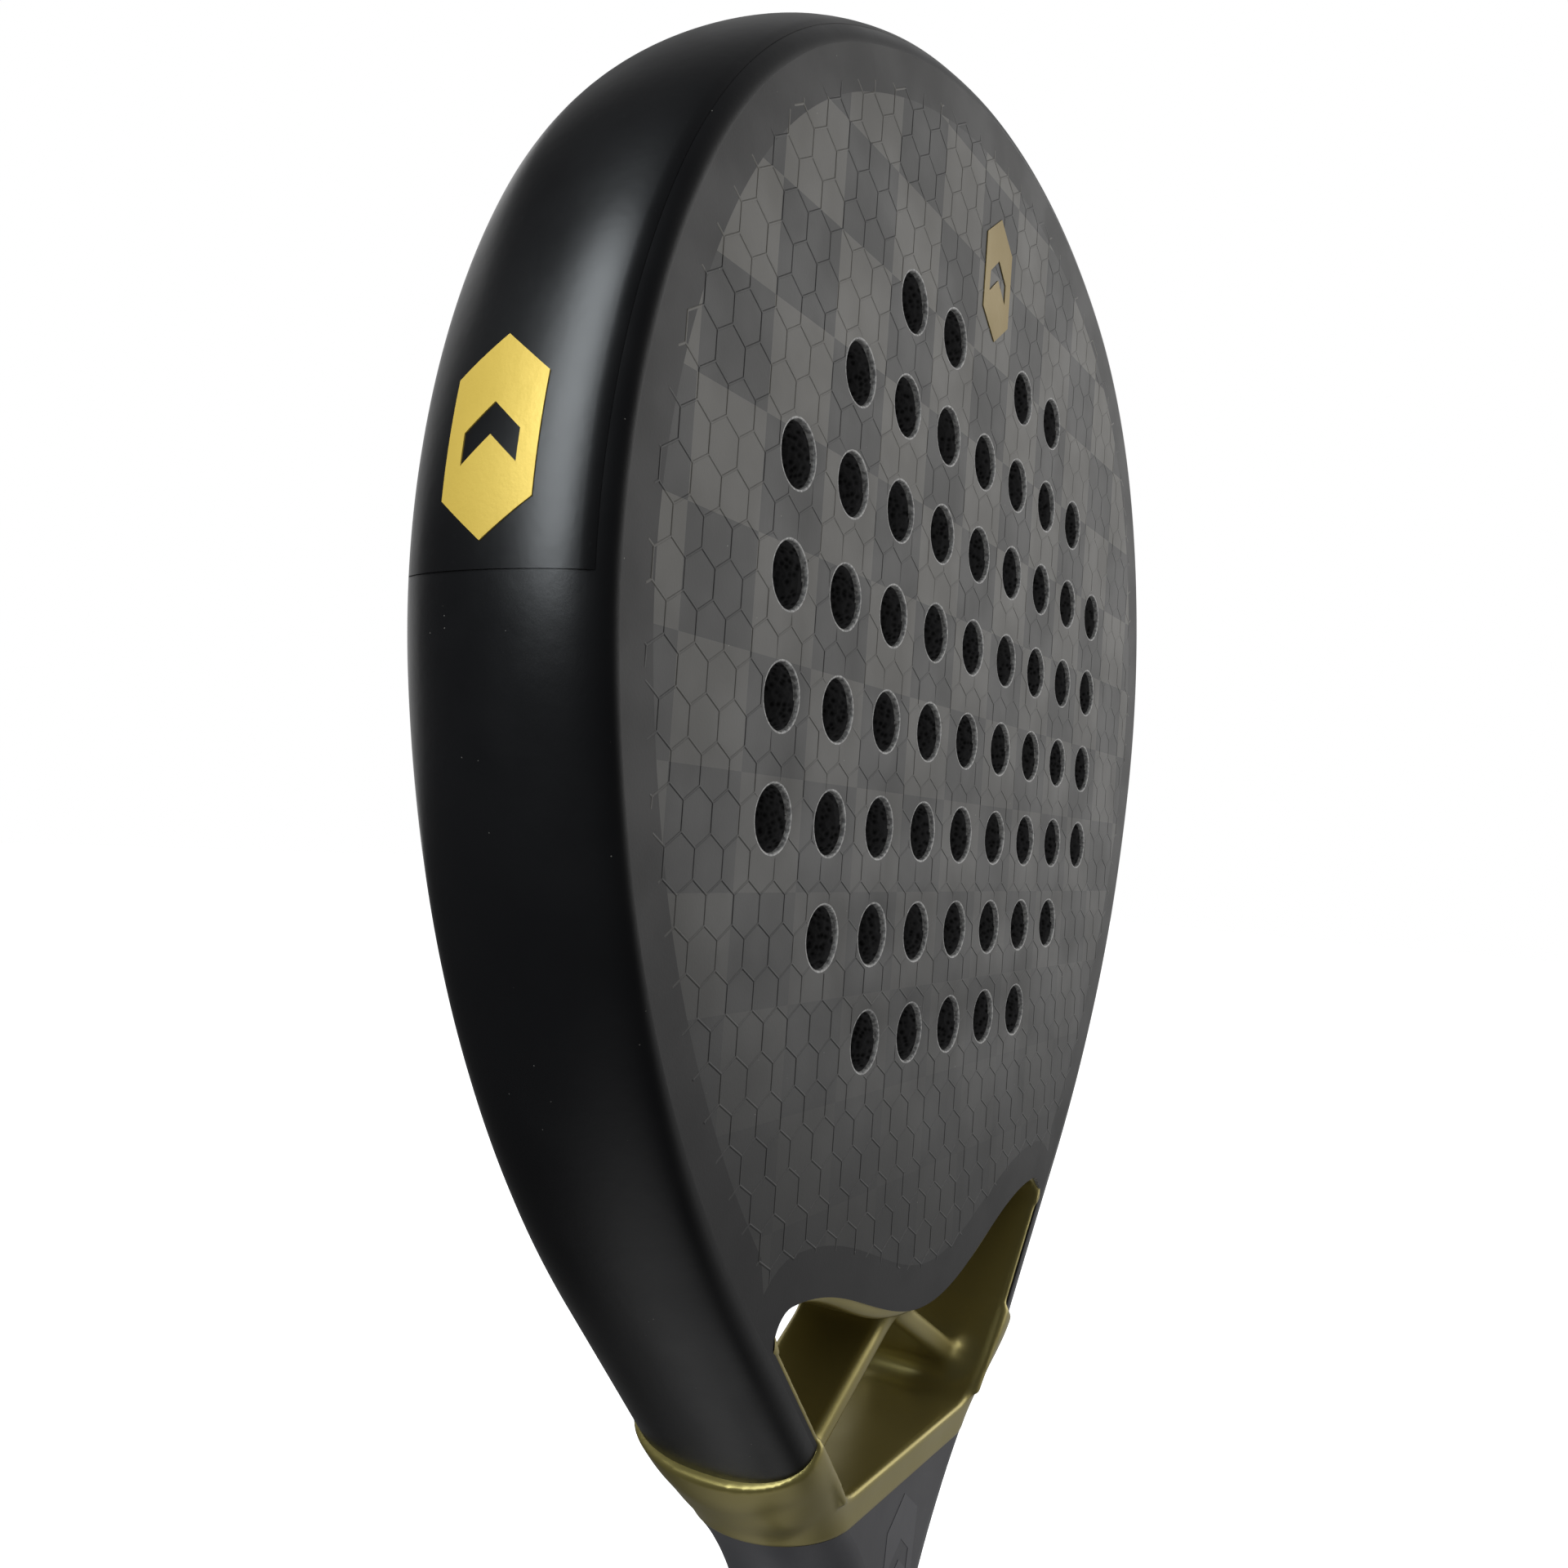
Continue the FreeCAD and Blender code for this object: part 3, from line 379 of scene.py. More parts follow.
rubber = lacquer("black_rubber", (0.010, 0.010, 0.011), (0.014, 0.014, 0.015), 0.62, grain=5.0)


def foam_material():
    """Dark foam with open pores, seen inside the holes; the pores' middles are painted darker as
    shade.
    """
    n = Nodes("black_foam")
    pores_and_shade = n.voronoi(900).outputs["Distance"]
    # painted shade: the colour is darkest in the middle of each pore
    color = n.mix(n.ramp(pores_and_shade, 0.1, 0.6), (0.012, 0.012, 0.012), (0.070, 0.070, 0.072))
    normal = n.bump(pores_and_shade, 0.0003, 0.9)
    return n.finish(color, 0.85, normal)


def cut_edge_material():
    """Layers of the laminate, seen on the rims of the holes; their light grey is partly the
    laminate's own colour and partly painted glints on the rims.
    """
    n = Nodes("laminate_cut_edge")
    layers = n.noise(1500, 2)
    # light grey of the cut layers, partly painted glint on the hole rims
    color = n.mix(n.ramp(layers, 0.35, 0.65), (0.18, 0.18, 0.18), (0.48, 0.48, 0.47))
    return n.finish(color, 0.42, n.bump(layers, 0.00003))


def film_material():
    """Clear film over black: glossier than the lacquer, with faint rubs."""
    n = Nodes("clear_film")
    rubs = n.noise(900, 4, 0.7)
    color = n.mix(n.ramp(rubs, 0.62, 0.75), (0.0042, 0.0042, 0.0048), (0.010, 0.010, 0.011))
    roughness = n.ramp(n.noise(45, 3), 0.3, 0.7, 0.29, 0.35)
    return n.finish(color, roughness, n.bump(n.noise(PEEL_SCALE, 2), PEEL_HEIGHT))


def grip_material():
    """Tacky black polyurethane with rows of small vent holes, the shade inside them painted as a
    darker colour.
    """
    n = Nodes("grip_polyurethane")
    grain = n.noise(1500, 4, 0.6)
    pits_and_shade = n.ramp(n.voronoi(230).outputs["Distance"], 0.10, 0.16)
    # painted shade: the vent holes are near-black in colour, standing for the shade inside them
    color = n.mix(pits_and_shade, (0.002, 0.002, 0.002), (0.015, 0.015, 0.016))
    roughness = n.ramp(grain, 0.3, 0.7, 0.50, 0.62)
    normal = n.bump(pits_and_shade, 0.0004, under=n.bump(grain, 0.00005))
    return n.finish(color, roughness, normal)


film_clear = film_material()
grip_skin = grip_material()
foam = foam_material()
cut_edge = cut_edge_material()
filler = lacquer("filler_foam", (0.60, 0.58, 0.50), (0.72, 0.70, 0.62), 0.85,
                 grain=8.0, dust=0.0)

# ---------------------------------------------------------------- frame shell

CROWN_STEPS = 33
SHELL_SINK = 0.5  # the shell's flat sides lie this far below the face plates


def frame_shell():
    """Rim and both arms as one closed shell, swept along the outline."""
    turns = np.linspace(-1, 1, CROWN_STEPS)
    verts, rows = [], len(OUTLINE)
    for i in range(rows):
        crown = crown_points(i, turns)
        x, z = OUTLINE[i, :2] - NORMALS[i] * ARM_WIDTH
        front = crown[0] + (0, SHELL_SINK, 0)
        back = crown[-1] - (0, SHELL_SINK, 0)
        wall_back = (x, HALF - SHELL_SINK, z)
        wall_front = (x, SHELL_SINK - HALF, z)
        verts += [front, *crown, back, wall_back, wall_front]
    columns = CROWN_STEPS + 4
    faces = grid_faces(rows, columns, closed=True)
    faces.append(tuple(range(columns)))
    faces.append(tuple((rows - 1) * columns + j for j in range(columns))[::-1])
    obj = add_object("frame_shell", verts, faces, [satin_black],
                     ["head_frame_tube", "throat_arm_left", "throat_arm_right"])
    fix_normals(obj)
    sharpen(obj)


frame_shell()

# ---------------------------------------------------------------- face plates

# the face's lower edge is a wave: high in the notches at the arms, low in the middle
NOTCH_Z = 219.3
LOBE_Z = 204.7


def arm_line(z, inward):
    """x of the line that far in from the right arm's outside, at a height."""
    x, top, heading = RIGHT[-1]
    ux, uz = math.cos(heading), -math.sin(heading)
    px, pz = x - inward * math.sin(heading), top - inward * math.cos(heading)
    return px + (z - pz) / uz * ux


NOTCH_ROUND = 5.6
WAVE_SPAN = arm_line(NOTCH_Z - NOTCH_ROUND, ARM_WIDTH) - NOTCH_ROUND


def wave_height(x):
    """Height of the wave at a distance from the middle."""
    share = np.clip(np.abs(x) / WAVE_SPAN, 0, 1)
    return LOBE_Z + (NOTCH_Z - LOBE_Z) * (0.5 - 0.5 * np.cos(math.pi * share))


def wave_line(count=30):
    """Lower edge of the face, from the right notch to the left one, with round corners."""
    turns = np.linspace(0, math.pi / 2, 9)
    corner = np.column_stack([WAVE_SPAN + NOTCH_ROUND * np.cos(turns),
                              NOTCH_Z - NOTCH_ROUND * (1 - np.sin(turns))])
    xs = np.linspace(WAVE_SPAN, 0, count)[1:]
    half = np.vstack([corner, np.column_stack([xs, wave_height(xs)])])
    return np.vstack([half, half[-2::-1] * (-1, 1)])


WAVE = wave_line()
PLATE_DEPTH = 1.0
# widths of the plain band along the rim and along the wave; the rim's part of the field stops at
# FIELD_LOW, and the wave's part FIELD_CORNER inside it
BAND = 7.6
LOW_BAND = 8.8
FIELD_LOW = 229.5
FIELD_LOW_REACH = 2.5
FIELD_CORNER = 2.0


def plate_outline():
    """Edge of a hitting face and the flat of both arms."""
    crown = inset_outline([crown_depth(z) for z in OUTLINE[:, 1]])
    right_foot = OUTLINE[-1, :2] - NORMALS[-1] * ARM_WIDTH
    left_foot = right_foot * (-1, 1)
    return np.vstack([crown, right_foot, WAVE, left_foot])


def inside(points, polygon):
    """Which points lie inside a polygon."""
    points = np.atleast_2d(points)
    result = np.zeros(len(points), bool)
    x, y = points[:, 0], points[:, 1]
    ax, ay = polygon[-1]
    for bx, by in polygon:
        crosses = (ay > y) != (by > y)
        with np.errstate(divide="ignore", invalid="ignore"):
            at = (bx - ax) * (y - ay) / (by - ay) + ax
        result ^= crosses & (x < at)
        ax, ay = bx, by
    return result


def hole_centres():
    """Middle of every hole, as x and z."""
    return np.array([(column * HOLE_PITCH, HOLE_ROW_Z - row * HOLE_PITCH)
                     for row, columns in HOLE_ROWS for column in columns])


HOLES = hole_centres()
PLATE = plate_outline()


def field_outline():
    """Edge of the weave and honeycomb: inset from the rim, and above the wave."""
    rim = inset_outline([crown_depth(z) + BAND for z in OUTLINE[:, 1]])
    step = np.gradient(WAVE, axis=0)
    up = np.column_stack([step[:, 1], -step[:, 0]]) / np.hypot(*step.T)[:, None]
    low = WAVE + up * LOW_BAND
    inner = [p for p in rim if p[1] > FIELD_LOW]
    edge_x = max(p[0] for p in inner if p[1] < FIELD_LOW + FIELD_LOW_REACH)
    low = low[np.abs(low[:, 0]) < edge_x - FIELD_CORNER]
    return np.vstack([inner, low])


FIELD = field_outline()
# rounded rim of a hole, ring by ring: how much wider than the hole, and how deep
RIM_RINGS = ((0.45, 0.0), (0.16, 0.05), (0.03, 0.2), (0.0, 0.42), (0.0, 1.05))
HOLE_SIDES = 44


def face_plate(name, side):
    """One hitting face and the flat of both arms, with rounded hole rims."""
    angles = np.linspace(0, 2 * math.pi, HOLE_SIDES, endpoint=False)
    circle = np.column_stack([np.cos(angles), np.sin(angles)])
    opening = HOLE_RADIUS + RIM_RINGS[0][0]
    points, edges = [], []
    for loop in (PLATE, FIELD, *(centre + circle * opening for centre in HOLES)):
        add_loop(points, edges, loop)
    flat, triangles, middle = triangulate(points, edges, 1e-5)
    keep = inside(middle, PLATE)
    for centre in HOLES:
        keep &= np.hypot(*(middle - centre).T) > opening - 0.02
    weave = inside(middle, FIELD)
    y = side * HALF
    verts = [(x, y, z) for x, z in flat]
    # each face is of the band (0), the woven field (1) or a cut edge (2)
    faces = [tuple(t) for t, use in zip(triangles, keep) if use]
    ids = [int(woven) for use, woven in zip(keep, weave) if use]
    for centre in HOLES:
        base = len(verts)
        for grow, sink in RIM_RINGS:
            ring = centre + circle * (HOLE_RADIUS + grow)
            verts += [(x, y - side * sink, z) for x, z in ring]
        rim = grid_faces(len(RIM_RINGS), HOLE_SIDES, closed=True)
        faces += [tuple(base + i for i in face) for face in rim]
        ids += [2] * len(rim)
    # the outer edge goes down into the racket
    base = len(verts)
    verts += [(x, y, z) for x, z in PLATE] + [(x, y - side * PLATE_DEPTH, z) for x, z in PLATE]
    wall = grid_faces(2, len(PLATE), closed=True)
    faces += [tuple(base + i for i in face) for face in wall]
    along_wave = range(len(OUTLINE) + 1, len(PLATE) - 2)
    ids += [2 if i in along_wave else 0 for i in range(len(wall))]
    skin = "face_skin_front" if side < 0 else "face_skin_back"
    obj = add_object(name, verts, faces, [face_band, face_field, cut_edge], [skin],
                     ids=ids)
    bm = bmesh.new()
    bm.from_mesh(obj.data)
    bmesh.ops.remove_doubles(bm, verts=bm.verts, dist=1e-6)
    bmesh.ops.recalc_face_normals(bm, faces=bm.faces)
    outward = [f for f in bm.faces if abs(f.normal.y) > 0.99]
    if outward[0].normal.y * side < 0:
        bmesh.ops.reverse_faces(bm, faces=bm.faces)
    bm.to_mesh(obj.data)
    bm.free()
    sharpen(obj)


face_plate("face_front", -1)
face_plate("face_back", 1)

# ---------------------------------------------------------------- honeycomb relief

CELL = 7.85  # width of a cell, and a cell's middle
CELL_X = 2.0
CELL_Z = 300.0
# ridges: half their width, their height, and how deep their feet reach into the face
RIDGE_HALF = 0.26
RIDGE_HEIGHT = 0.08
RIDGE_FOOT = -0.03
RIDGE_SHOULDER = 0.62  # share of the half width, and of the height there
RIDGE_CUT = 0.15  # share of the height that is left where a ridge is cut off
RIDGE_STEPS = 24
RIDGE_SHORTEST = 3  # in steps
SPUR = 2.0  # ridges run this far past the field's edge
HOLE_CLEAR = 0.75


def comb_edges():
    """Every edge of the honeycomb once, as pairs of points."""
    side = CELL / math.sqrt(3)
    edges = []
    for j in range(-24, 28):
        for i in range(-20, 21):
            cx = CELL_X + (i + 0.5 * (j % 2)) * CELL
            cz = CELL_Z + j * side * 1.5
            corner = [(cx + side * math.cos(math.radians(a)), cz + side * math.sin(math.radians(a)))
                      for a in (90, 30, -30, -90)]
            edges += [(corner[0], corner[1]), (corner[1], corner[2]), (corner[2], corner[3])]
    return np.array(edges)


def comb_zone():
    """Area that the ridges may cover."""
    zone = inset_outline([crown_depth(z) + BAND - SPUR for z in OUTLINE[:, 1]])
    zone = np.array([p for p in zone if p[1] > FIELD_LOW])
    low = FIELD[FIELD[:, 1] < FIELD_LOW]
    low = low[np.argsort(-low[:, 0])]
    return np.vstack([zone, low[1:-1] + (0, -1.0)])


def relief(name, side):
    """Thin raised lines of the honeycomb, cut off at the holes and at the band."""
    shoulder, top = RIDGE_HALF * RIDGE_SHOULDER, RIDGE_SHOULDER * RIDGE_HEIGHT
    profile = np.array([(-RIDGE_HALF, RIDGE_FOOT), (-shoulder, top), (0, RIDGE_HEIGHT),
                        (shoulder, top), (RIDGE_HALF, RIDGE_FOOT)])
    edges = comb_edges()
    x, z = edges.mean(axis=1).T
    edges = edges[(np.abs(x) < HEAD_HALF_WIDTH) & (z > LOBE_Z) & (z < TIP_Z)]
    share = (np.arange(RIDGE_STEPS) + 0.5) / RIDGE_STEPS
    samples = edges[:, :1] + share[:, None] * (edges[:, 1:] - edges[:, :1])
    flat = samples.reshape(-1, 2)
    clear = inside(flat, comb_zone())
    for hole in HOLES:
        clear &= np.hypot(*(flat - hole).T) > HOLE_RADIUS + HOLE_CLEAR
    clear = clear.reshape(len(edges), RIDGE_STEPS)
    verts, faces = [], []
    for (a, b), ok in zip(edges, clear):
        if not ok.any():
            continue
        runs = np.flatnonzero(np.diff(np.concatenate([[0], ok.astype(int), [0]])))
        along = (b - a) / np.hypot(*(b - a))
        across = np.array([-along[1], along[0]])
        fade = 1 - 0.25 * rng.random()
        for start, stop in zip(runs[::2], runs[1::2]):
            if stop - start < RIDGE_SHORTEST:
                continue
            base = len(verts)
            for step, whole in ((start, start == 0), (stop, stop == RIDGE_STEPS)):
                point = a + step / RIDGE_STEPS * (b - a)
                height = fade if whole else RIDGE_CUT * fade
                for offset, up in profile:
                    x, z = point + across * offset
                    lift = up if up < 0 else up * height
                    verts.append((x, side * (HALF + lift), z))
            for k in range(4):
                faces.append((base + k, base + k + 1, base + 6 + k, base + 5 + k))
            faces += [(base, base + 5, base + 9, base + 4), tuple(base + k for k in range(5)),
                      tuple(base + 9 - k for k in range(5))]
    obj = add_object(name, verts, faces, [face_field])
    fix_normals(obj)
    sharpen(obj, 60)


relief("comb_front", -1)
relief("comb_back", 1)

# ---------------------------------------------------------------- throat moulding

VOXEL = 0.5
# collar: how far down the arms it starts, how far it stands out, the heights where it has the
# neck's shape and the arms' shape, and how far in its rounding reaches at the neck
JOINT_RUN = 40.0
SLEEVE = 1.3
COLLAR_LOW = node_box("throat_collar")[0][2] - 0.3
COLLAR_HIGH = 190.0
COLLAR_DEPTH = 13.2
# the collar swells a little: how far below its top edge, and how widely
BULGE_RUN = 6.0
BULGE_SPREAD = 6.5
# liner: distances in from the arm's outside, and how much thicker its middle is
LINER_IN = 10.5
LINER_OUT = 11.8
LINER_BELLY = 2.0
# floor of the opening: level out to FLOOR_HALF, then rising; the rise is given by its normal
FLOOR_Z = 175.5
FLOOR_HALF = 29.5
FLOOR_RISE = (-0.68, 0.733)
# bridge: reach above the wave, reach below it at its middle and ends, and the extra in between
BRIDGE_UP = 3.2
BRIDGE_DROP = 0.8
BRIDGE_SAG = 1.6
# struts: ends of the right one, half its width and depth, its middle in y, and its edges' radius
STRUT_TOP = (0.0, 202.2)
STRUT_FOOT = (42.0, 178.4)
STRUT_HALF = 2.7
STRUT_DEEP = 9.7
STRUT_MIDDLE_Y = -1.7
STRUT_ROUND = 1.9
# roundings of the collar's edges and of the opening, and between the moulding's parts
COLLAR_TOP_ROUND = 0.9
COLLAR_FOOT_ROUND = 0.5
OPENING_ROUND = 1.3
FLOOR_ROUND = 3.0
BRIDGE_ROUND = 1.8
LINER_BLEND = 1.2
BRIDGE_BLEND = 2.5
STRUT_BLEND = 6.0
NET_HALF_WIDTH = 66.0
NET_HALF_DEPTH = 21.0
SMOOTH_ROUNDS = 3


def smooth_max(a, b, k):
    """The larger of two, with a rounding of size k where they are close."""
    h = np.maximum(k - np.abs(a - b), 0) / k
    return np.maximum(a, b) + h * h * k / 4


def smooth_min(a, b, k):
    """The smaller of two, with a rounding of size k where they are close."""
    return -smooth_max(-a, -b, k)


def arm_coordinates(x, z):
    """Distance in from the right arm's outer line, and distance down the arm."""
    foot = RIGHT[-1]
    nx, nz = math.sin(foot[2]), math.cos(foot[2])
    dx, dz = math.cos(foot[2]), -math.sin(foot[2])
    inward = -((x - foot[0]) * nx + (z - foot[1]) * nz)
    run = (x - foot[0]) * dx + (z - foot[1]) * dz + ARM_RUN
    radius = ARC_RADII[-1]
    cx = foot[0] - ARM_RUN * dx - radius * nx
    cz = foot[1] - ARM_RUN * dz - radius * nz
    bent = radius - np.hypot(x - cx, z - cz)
    return np.where(run < 0, bent, inward), run


def collar_field(x, y, z, inward, run):
    """A sleeve round both arm ends that runs into the neck, with the opening cut out."""
    low = 1 - smoothstep(COLLAR_LOW, COLLAR_HIGH, z)
    bulge = 1.0 * np.exp(-((run - JOINT_RUN - BULGE_RUN) / BULGE_SPREAD) ** 2)
    deep = (ARM_DEPTH + SLEEVE) * (1 - low) + COLLAR_DEPTH * low + bulge
    half = (HALF + SLEEVE - 0.5) * (1 - low) + (NECK_HALF_DEPTH + 0.4) * low
    power = HEAD_POWER + ARM_POWER - 0.25 * low
    across = np.maximum(deep - (inward + SLEEVE + bulge), 0) / deep
    gauge = (across ** power + (y / half) ** power) ** (1 / power)
    reach = np.hypot(across * deep, y)
    # the gauge says little close to the middle, where any clearly negative value will do
    body = np.where(gauge < 0.3, -0.7 * deep, reach * (1 - 1 / np.maximum(gauge, 0.05)))
    body = smooth_max(body, JOINT_RUN - run, COLLAR_TOP_ROUND)
    body = smooth_max(body, COLLAR_LOW - z, COLLAR_FOOT_ROUND)
    rise = (x - FLOOR_HALF) * FLOOR_RISE[0] + (z - FLOOR_Z) * FLOOR_RISE[1]
    above = smooth_min(z - FLOOR_Z, rise, FLOOR_ROUND)
    return smooth_max(body, np.minimum(above, inward - liner_face(y)), OPENING_ROUND)


def liner_face(y):
    """Distance from the arm's outside to the liner's face, which bellies out in the middle."""
    return LINER_OUT + LINER_BELLY * (1 - (y / HALF) ** 2)


def liner_field(y, z, inward):
    """Gold wall on the inside of each arm."""
    liner = np.maximum(LINER_IN - inward, inward - liner_face(y))
    liner = np.maximum(liner, y - (HALF - 0.15))
    return np.maximum(liner, np.maximum(z - NOTCH_Z - 1.5, COLLAR_LOW + 8 - z))


def bridge_field(x, y, z, inward):
    """Bridge under the core, along the wave, with the round corners of the opening."""
    swing = np.sin(math.pi * np.clip(x / WAVE_SPAN, 0, 1))
    climb = math.pi / 2 * (NOTCH_Z - LOBE_Z) / WAVE_SPAN * swing
    rise = (z - wave_height(x)) / np.sqrt(1 + climb ** 2)
    drop = BRIDGE_DROP + BRIDGE_SAG * swing ** 2
    bridge = smooth_max(np.maximum(-drop - rise, rise - BRIDGE_UP), y - (HALF - 0.6), BRIDGE_ROUND)
    bridge = np.maximum(bridge, LINER_IN - inward)
    out, up = np.maximum(x - WAVE_SPAN, 0), np.maximum(z - NOTCH_Z + NOTCH_ROUND, 0)
    corner = NOTCH_ROUND - 1.0 - np.hypot(out, up)
    corner = np.maximum(np.maximum(corner, y - (HALF - 0.9)), LINER_IN - inward)
    corner = np.maximum(corner, WAVE_SPAN - x)
    corner = np.maximum(corner, np.maximum(z - NOTCH_Z - 3, NOTCH_Z - NOTCH_ROUND - z))
    return np.minimum(bridge, corner)


def strut_field(x, depth, z):
    """Rounded bar from the middle of the bridge to the end of the collar."""
    ax, az = STRUT_TOP
    bx, bz = STRUT_FOOT
    length = math.hypot(bx - ax, bz - az)
    ux, uz = (bx - ax) / length, (bz - az) / length
    along = np.clip((x - ax) * ux + (z - az) * uz, 0, length)
    off = np.hypot(x - ax - along * ux, z - az - along * uz)
    q = np.maximum(off - (STRUT_HALF - STRUT_ROUND), 0)
    w = np.maximum(depth - (STRUT_DEEP - STRUT_ROUND), 0)
    flat = np.maximum(off - STRUT_HALF, depth - STRUT_DEEP) + STRUT_ROUND
    return np.hypot(q, w) + np.minimum(flat, 0) - STRUT_ROUND


def throat_field(x, y, z):
    """Signed distance to the throat moulding, about, in millimetres."""
    depth = np.abs(y - STRUT_MIDDLE_Y)
    x, y = np.abs(x), np.abs(y)
    inward, run = arm_coordinates(x, z)
    solid = collar_field(x, y, z, inward, run)
    solid = smooth_min(solid, liner_field(y, z, inward), LINER_BLEND)
    solid = smooth_min(solid, bridge_field(x, y, z, inward), BRIDGE_BLEND)
    return smooth_min(solid, strut_field(x, depth, z), STRUT_BLEND)


def surface_net(field, low, high, step):
    """Quad mesh of a field's zero surface: one point in every cell that the surface crosses,
    at the mean of its crossings with the cell's edges."""
    axes = [np.arange(a, b + step, step) for a, b in zip(low, high)]
    grid = np.meshgrid(*axes, indexing="ij")
    value = field(*grid)
    shape = np.array(value.shape)
    filled = value < 0
    total = np.zeros(shape - 1)
    corner = {}
    for dx in (0, 1):
        for dy in (0, 1):
            for dz in (0, 1):
                part = tuple(slice(d, n - 1 + d) for d, n in zip((dx, dy, dz), shape))
                corner[dx, dy, dz] = value[part]
                total += filled[part]
    active = (total > 0) & (total < 8)
    cells = np.argwhere(active)
    number = -np.ones(active.shape, int)
    number[active] = np.arange(len(cells))
    position = np.zeros((len(cells), 3))
    weight = np.zeros(len(cells))
    for a in corner:
        for axis in range(3):
            if a[axis]:
                continue
            b = tuple(v + (i == axis) for i, v in enumerate(a))
            va, vb = corner[a][active], corner[b][active]
            cut = (va < 0) != (vb < 0)
            t = np.where(cut, va / np.where(cut, va - vb, 1), 0)
            point = np.tile(np.array(a, float), (len(cells), 1))
            point[:, axis] += t
            position[cut] += point[cut]
            weight += cut
    verts = (cells + position / weight[:, None]) * step + [a[0] for a in axes]
    quads = []
    for axis in range(3):
        ahead = tuple(slice(1, None) if i == axis else slice(None) for i in range(3))
        behind = tuple(slice(None, -1) if i == axis else slice(None) for i in range(3))
        change = filled[behind] != filled[ahead]
        starts = np.argwhere(change)
        u, v = [i for i in range(3) if i != axis]
        ok = (starts[:, u] > 0) & (starts[:, v] > 0)
        ok &= (starts[:, u] < shape[u] - 1) & (starts[:, v] < shape[v] - 1)
        starts = starts[ok]
        corners = []
        for du, dv in ((0, 0), (1, 0), (1, 1), (0, 1)):
            at = starts.copy()
            at[:, u] -= du
            at[:, v] -= dv
            corners.append(number[at[:, 0], at[:, 1], at[:, 2]])
        quad = np.stack(corners, axis=1)
        flip = filled[behind][tuple(starts.T)] ^ (axis == 1)
        quad[~flip] = quad[~flip][:, ::-1]
        quads.append(quad)
    return verts, np.vstack(quads)


def throat_moulding():
    """Collar, liners, bridge and struts as one moulding with blended corners."""
    low = (-NET_HALF_WIDTH, -NET_HALF_DEPTH, COLLAR_LOW - 2)
    high = (NET_HALF_WIDTH, NET_HALF_DEPTH, NOTCH_Z + 6)
    verts, quads = surface_net(throat_field, low, high, VOXEL)
    obj = add_object("throat_moulding", verts, quads.tolist(), [gold],
                     ["throat_bridge", "throat_collar", "throat_liner_left", "throat_liner_right",
                      "throat_strut_left", "throat_strut_right"])
    bm = bmesh.new()
    bm.from_mesh(obj.data)
    for _ in range(SMOOTH_ROUNDS):
        bmesh.ops.smooth_vert(bm, verts=bm.verts, factor=0.5,
                              use_axis_x=True, use_axis_y=True, use_axis_z=True)
    bmesh.ops.recalc_face_normals(bm, faces=bm.faces)
    bm.to_mesh(obj.data)
    bm.free()
    return obj


throat_moulding()

# ---------------------------------------------------------------- film and rim decals

FILM_END_Z = node_box("edge_film")[0][2]
FILM = 0.25  # how far the film stands out
FILM_TURN = 0.70  # how far round the rim it reaches, of 1
FILM_EDGE = 0.06  # the turn over which it thins out
FILM_SUNK = -0.05
# rim marks: thickness, length and the height of their middle; neck marks: thickness and length;
# both: how deep their rims reach
DECAL = 0.2
DECAL_LENGTH = 29.0
DECAL_Z = TIP_Z - 105.7
NECK_PRINT = 0.08
NECK_MARK_LENGTH = 27.0
DECAL_SUNK = -0.02


def edge_film():
    """Clear film over the rim; its edges are stepped down to the lacquer."""
    stations = np.flatnonzero(OUTLINE[:, 1] > FILM_END_Z)
    turns = np.linspace(-FILM_TURN, FILM_TURN, 25)
    thin = np.clip((FILM_TURN - np.abs(turns)) / FILM_EDGE + 0.25, 0, 1)
    rows = [(stations[0], FILM_SUNK), *((i, FILM * thin) for i in stations),
            (stations[-1], FILM_SUNK)]
    verts = []
    for i, grow in rows:
        low = crown_points(i, turns, FILM_SUNK)
        verts += [low[0], *crown_points(i, turns, grow), low[-1]]
    obj = add_object("rim_film", verts, grid_faces(len(rows), len(turns) + 2), [film_clear],
                     ["edge_film"])
    fix_normals(obj)
    sharpen(obj, 30)


def mark_outline(length):
    """A tall six-sided plate and its chevron-shaped window, as (across, up) points."""
    half, tip, shoulder = 0.27 * length, 0.5 * length, 0.3 * length
    wing, side, foot = 0.167 * length, 0.02 * length, -0.14 * length
    plate = [(0, tip), (half, shoulder), (half, -shoulder),
             (0, -tip), (-half, -shoulder), (-half, shoulder)]
    window = [(0, 0.16 * length), (wing, side), (wing, foot), (0, 0), (-wing, foot), (-wing, side)]
    return np.array(plate), np.array(window)


def rim_point(side, across, z, grow):
    """Point on the rim at a height, some way across it, raised by a distance."""
    x = np.interp(-z, -RIGHT[:, 1], RIGHT[:, 0])
    heading = np.interp(-z, -RIGHT[:, 1], RIGHT[:, 2])
    depth = crown_depth(z)
    share = across / HALF
    level = math.sqrt(1 - share * share)
    ny, nr = share / HALF, level / depth
    size = math.hypot(ny, nr)
    inward = depth * (1 - level) - grow * nr / size
    return (side * (x - inward * math.sin(heading)), across + grow * ny / size,
            z - inward * math.cos(heading))


def clean_decal(obj, outward):
    """Join the decal's rim to its top, drop unused points and face it outwards."""
    bm = bmesh.new()
    bm.from_mesh(obj.data)
    bmesh.ops.remove_doubles(bm, verts=bm.verts, dist=1e-6)
    loose = [v for v in bm.verts if not v.link_faces]
    bmesh.ops.delete(bm, geom=loose, context="VERTS")
    bmesh.ops.recalc_face_normals(bm, faces=bm.faces)
    facing = sum(f.normal.dot(Vector(outward)) * f.calc_area() for f in bm.faces)
    if facing < 0:
        bmesh.ops.reverse_faces(bm, faces=bm.faces)
    bm.to_mesh(obj.data)
    bm.free()
    sharpen(obj)


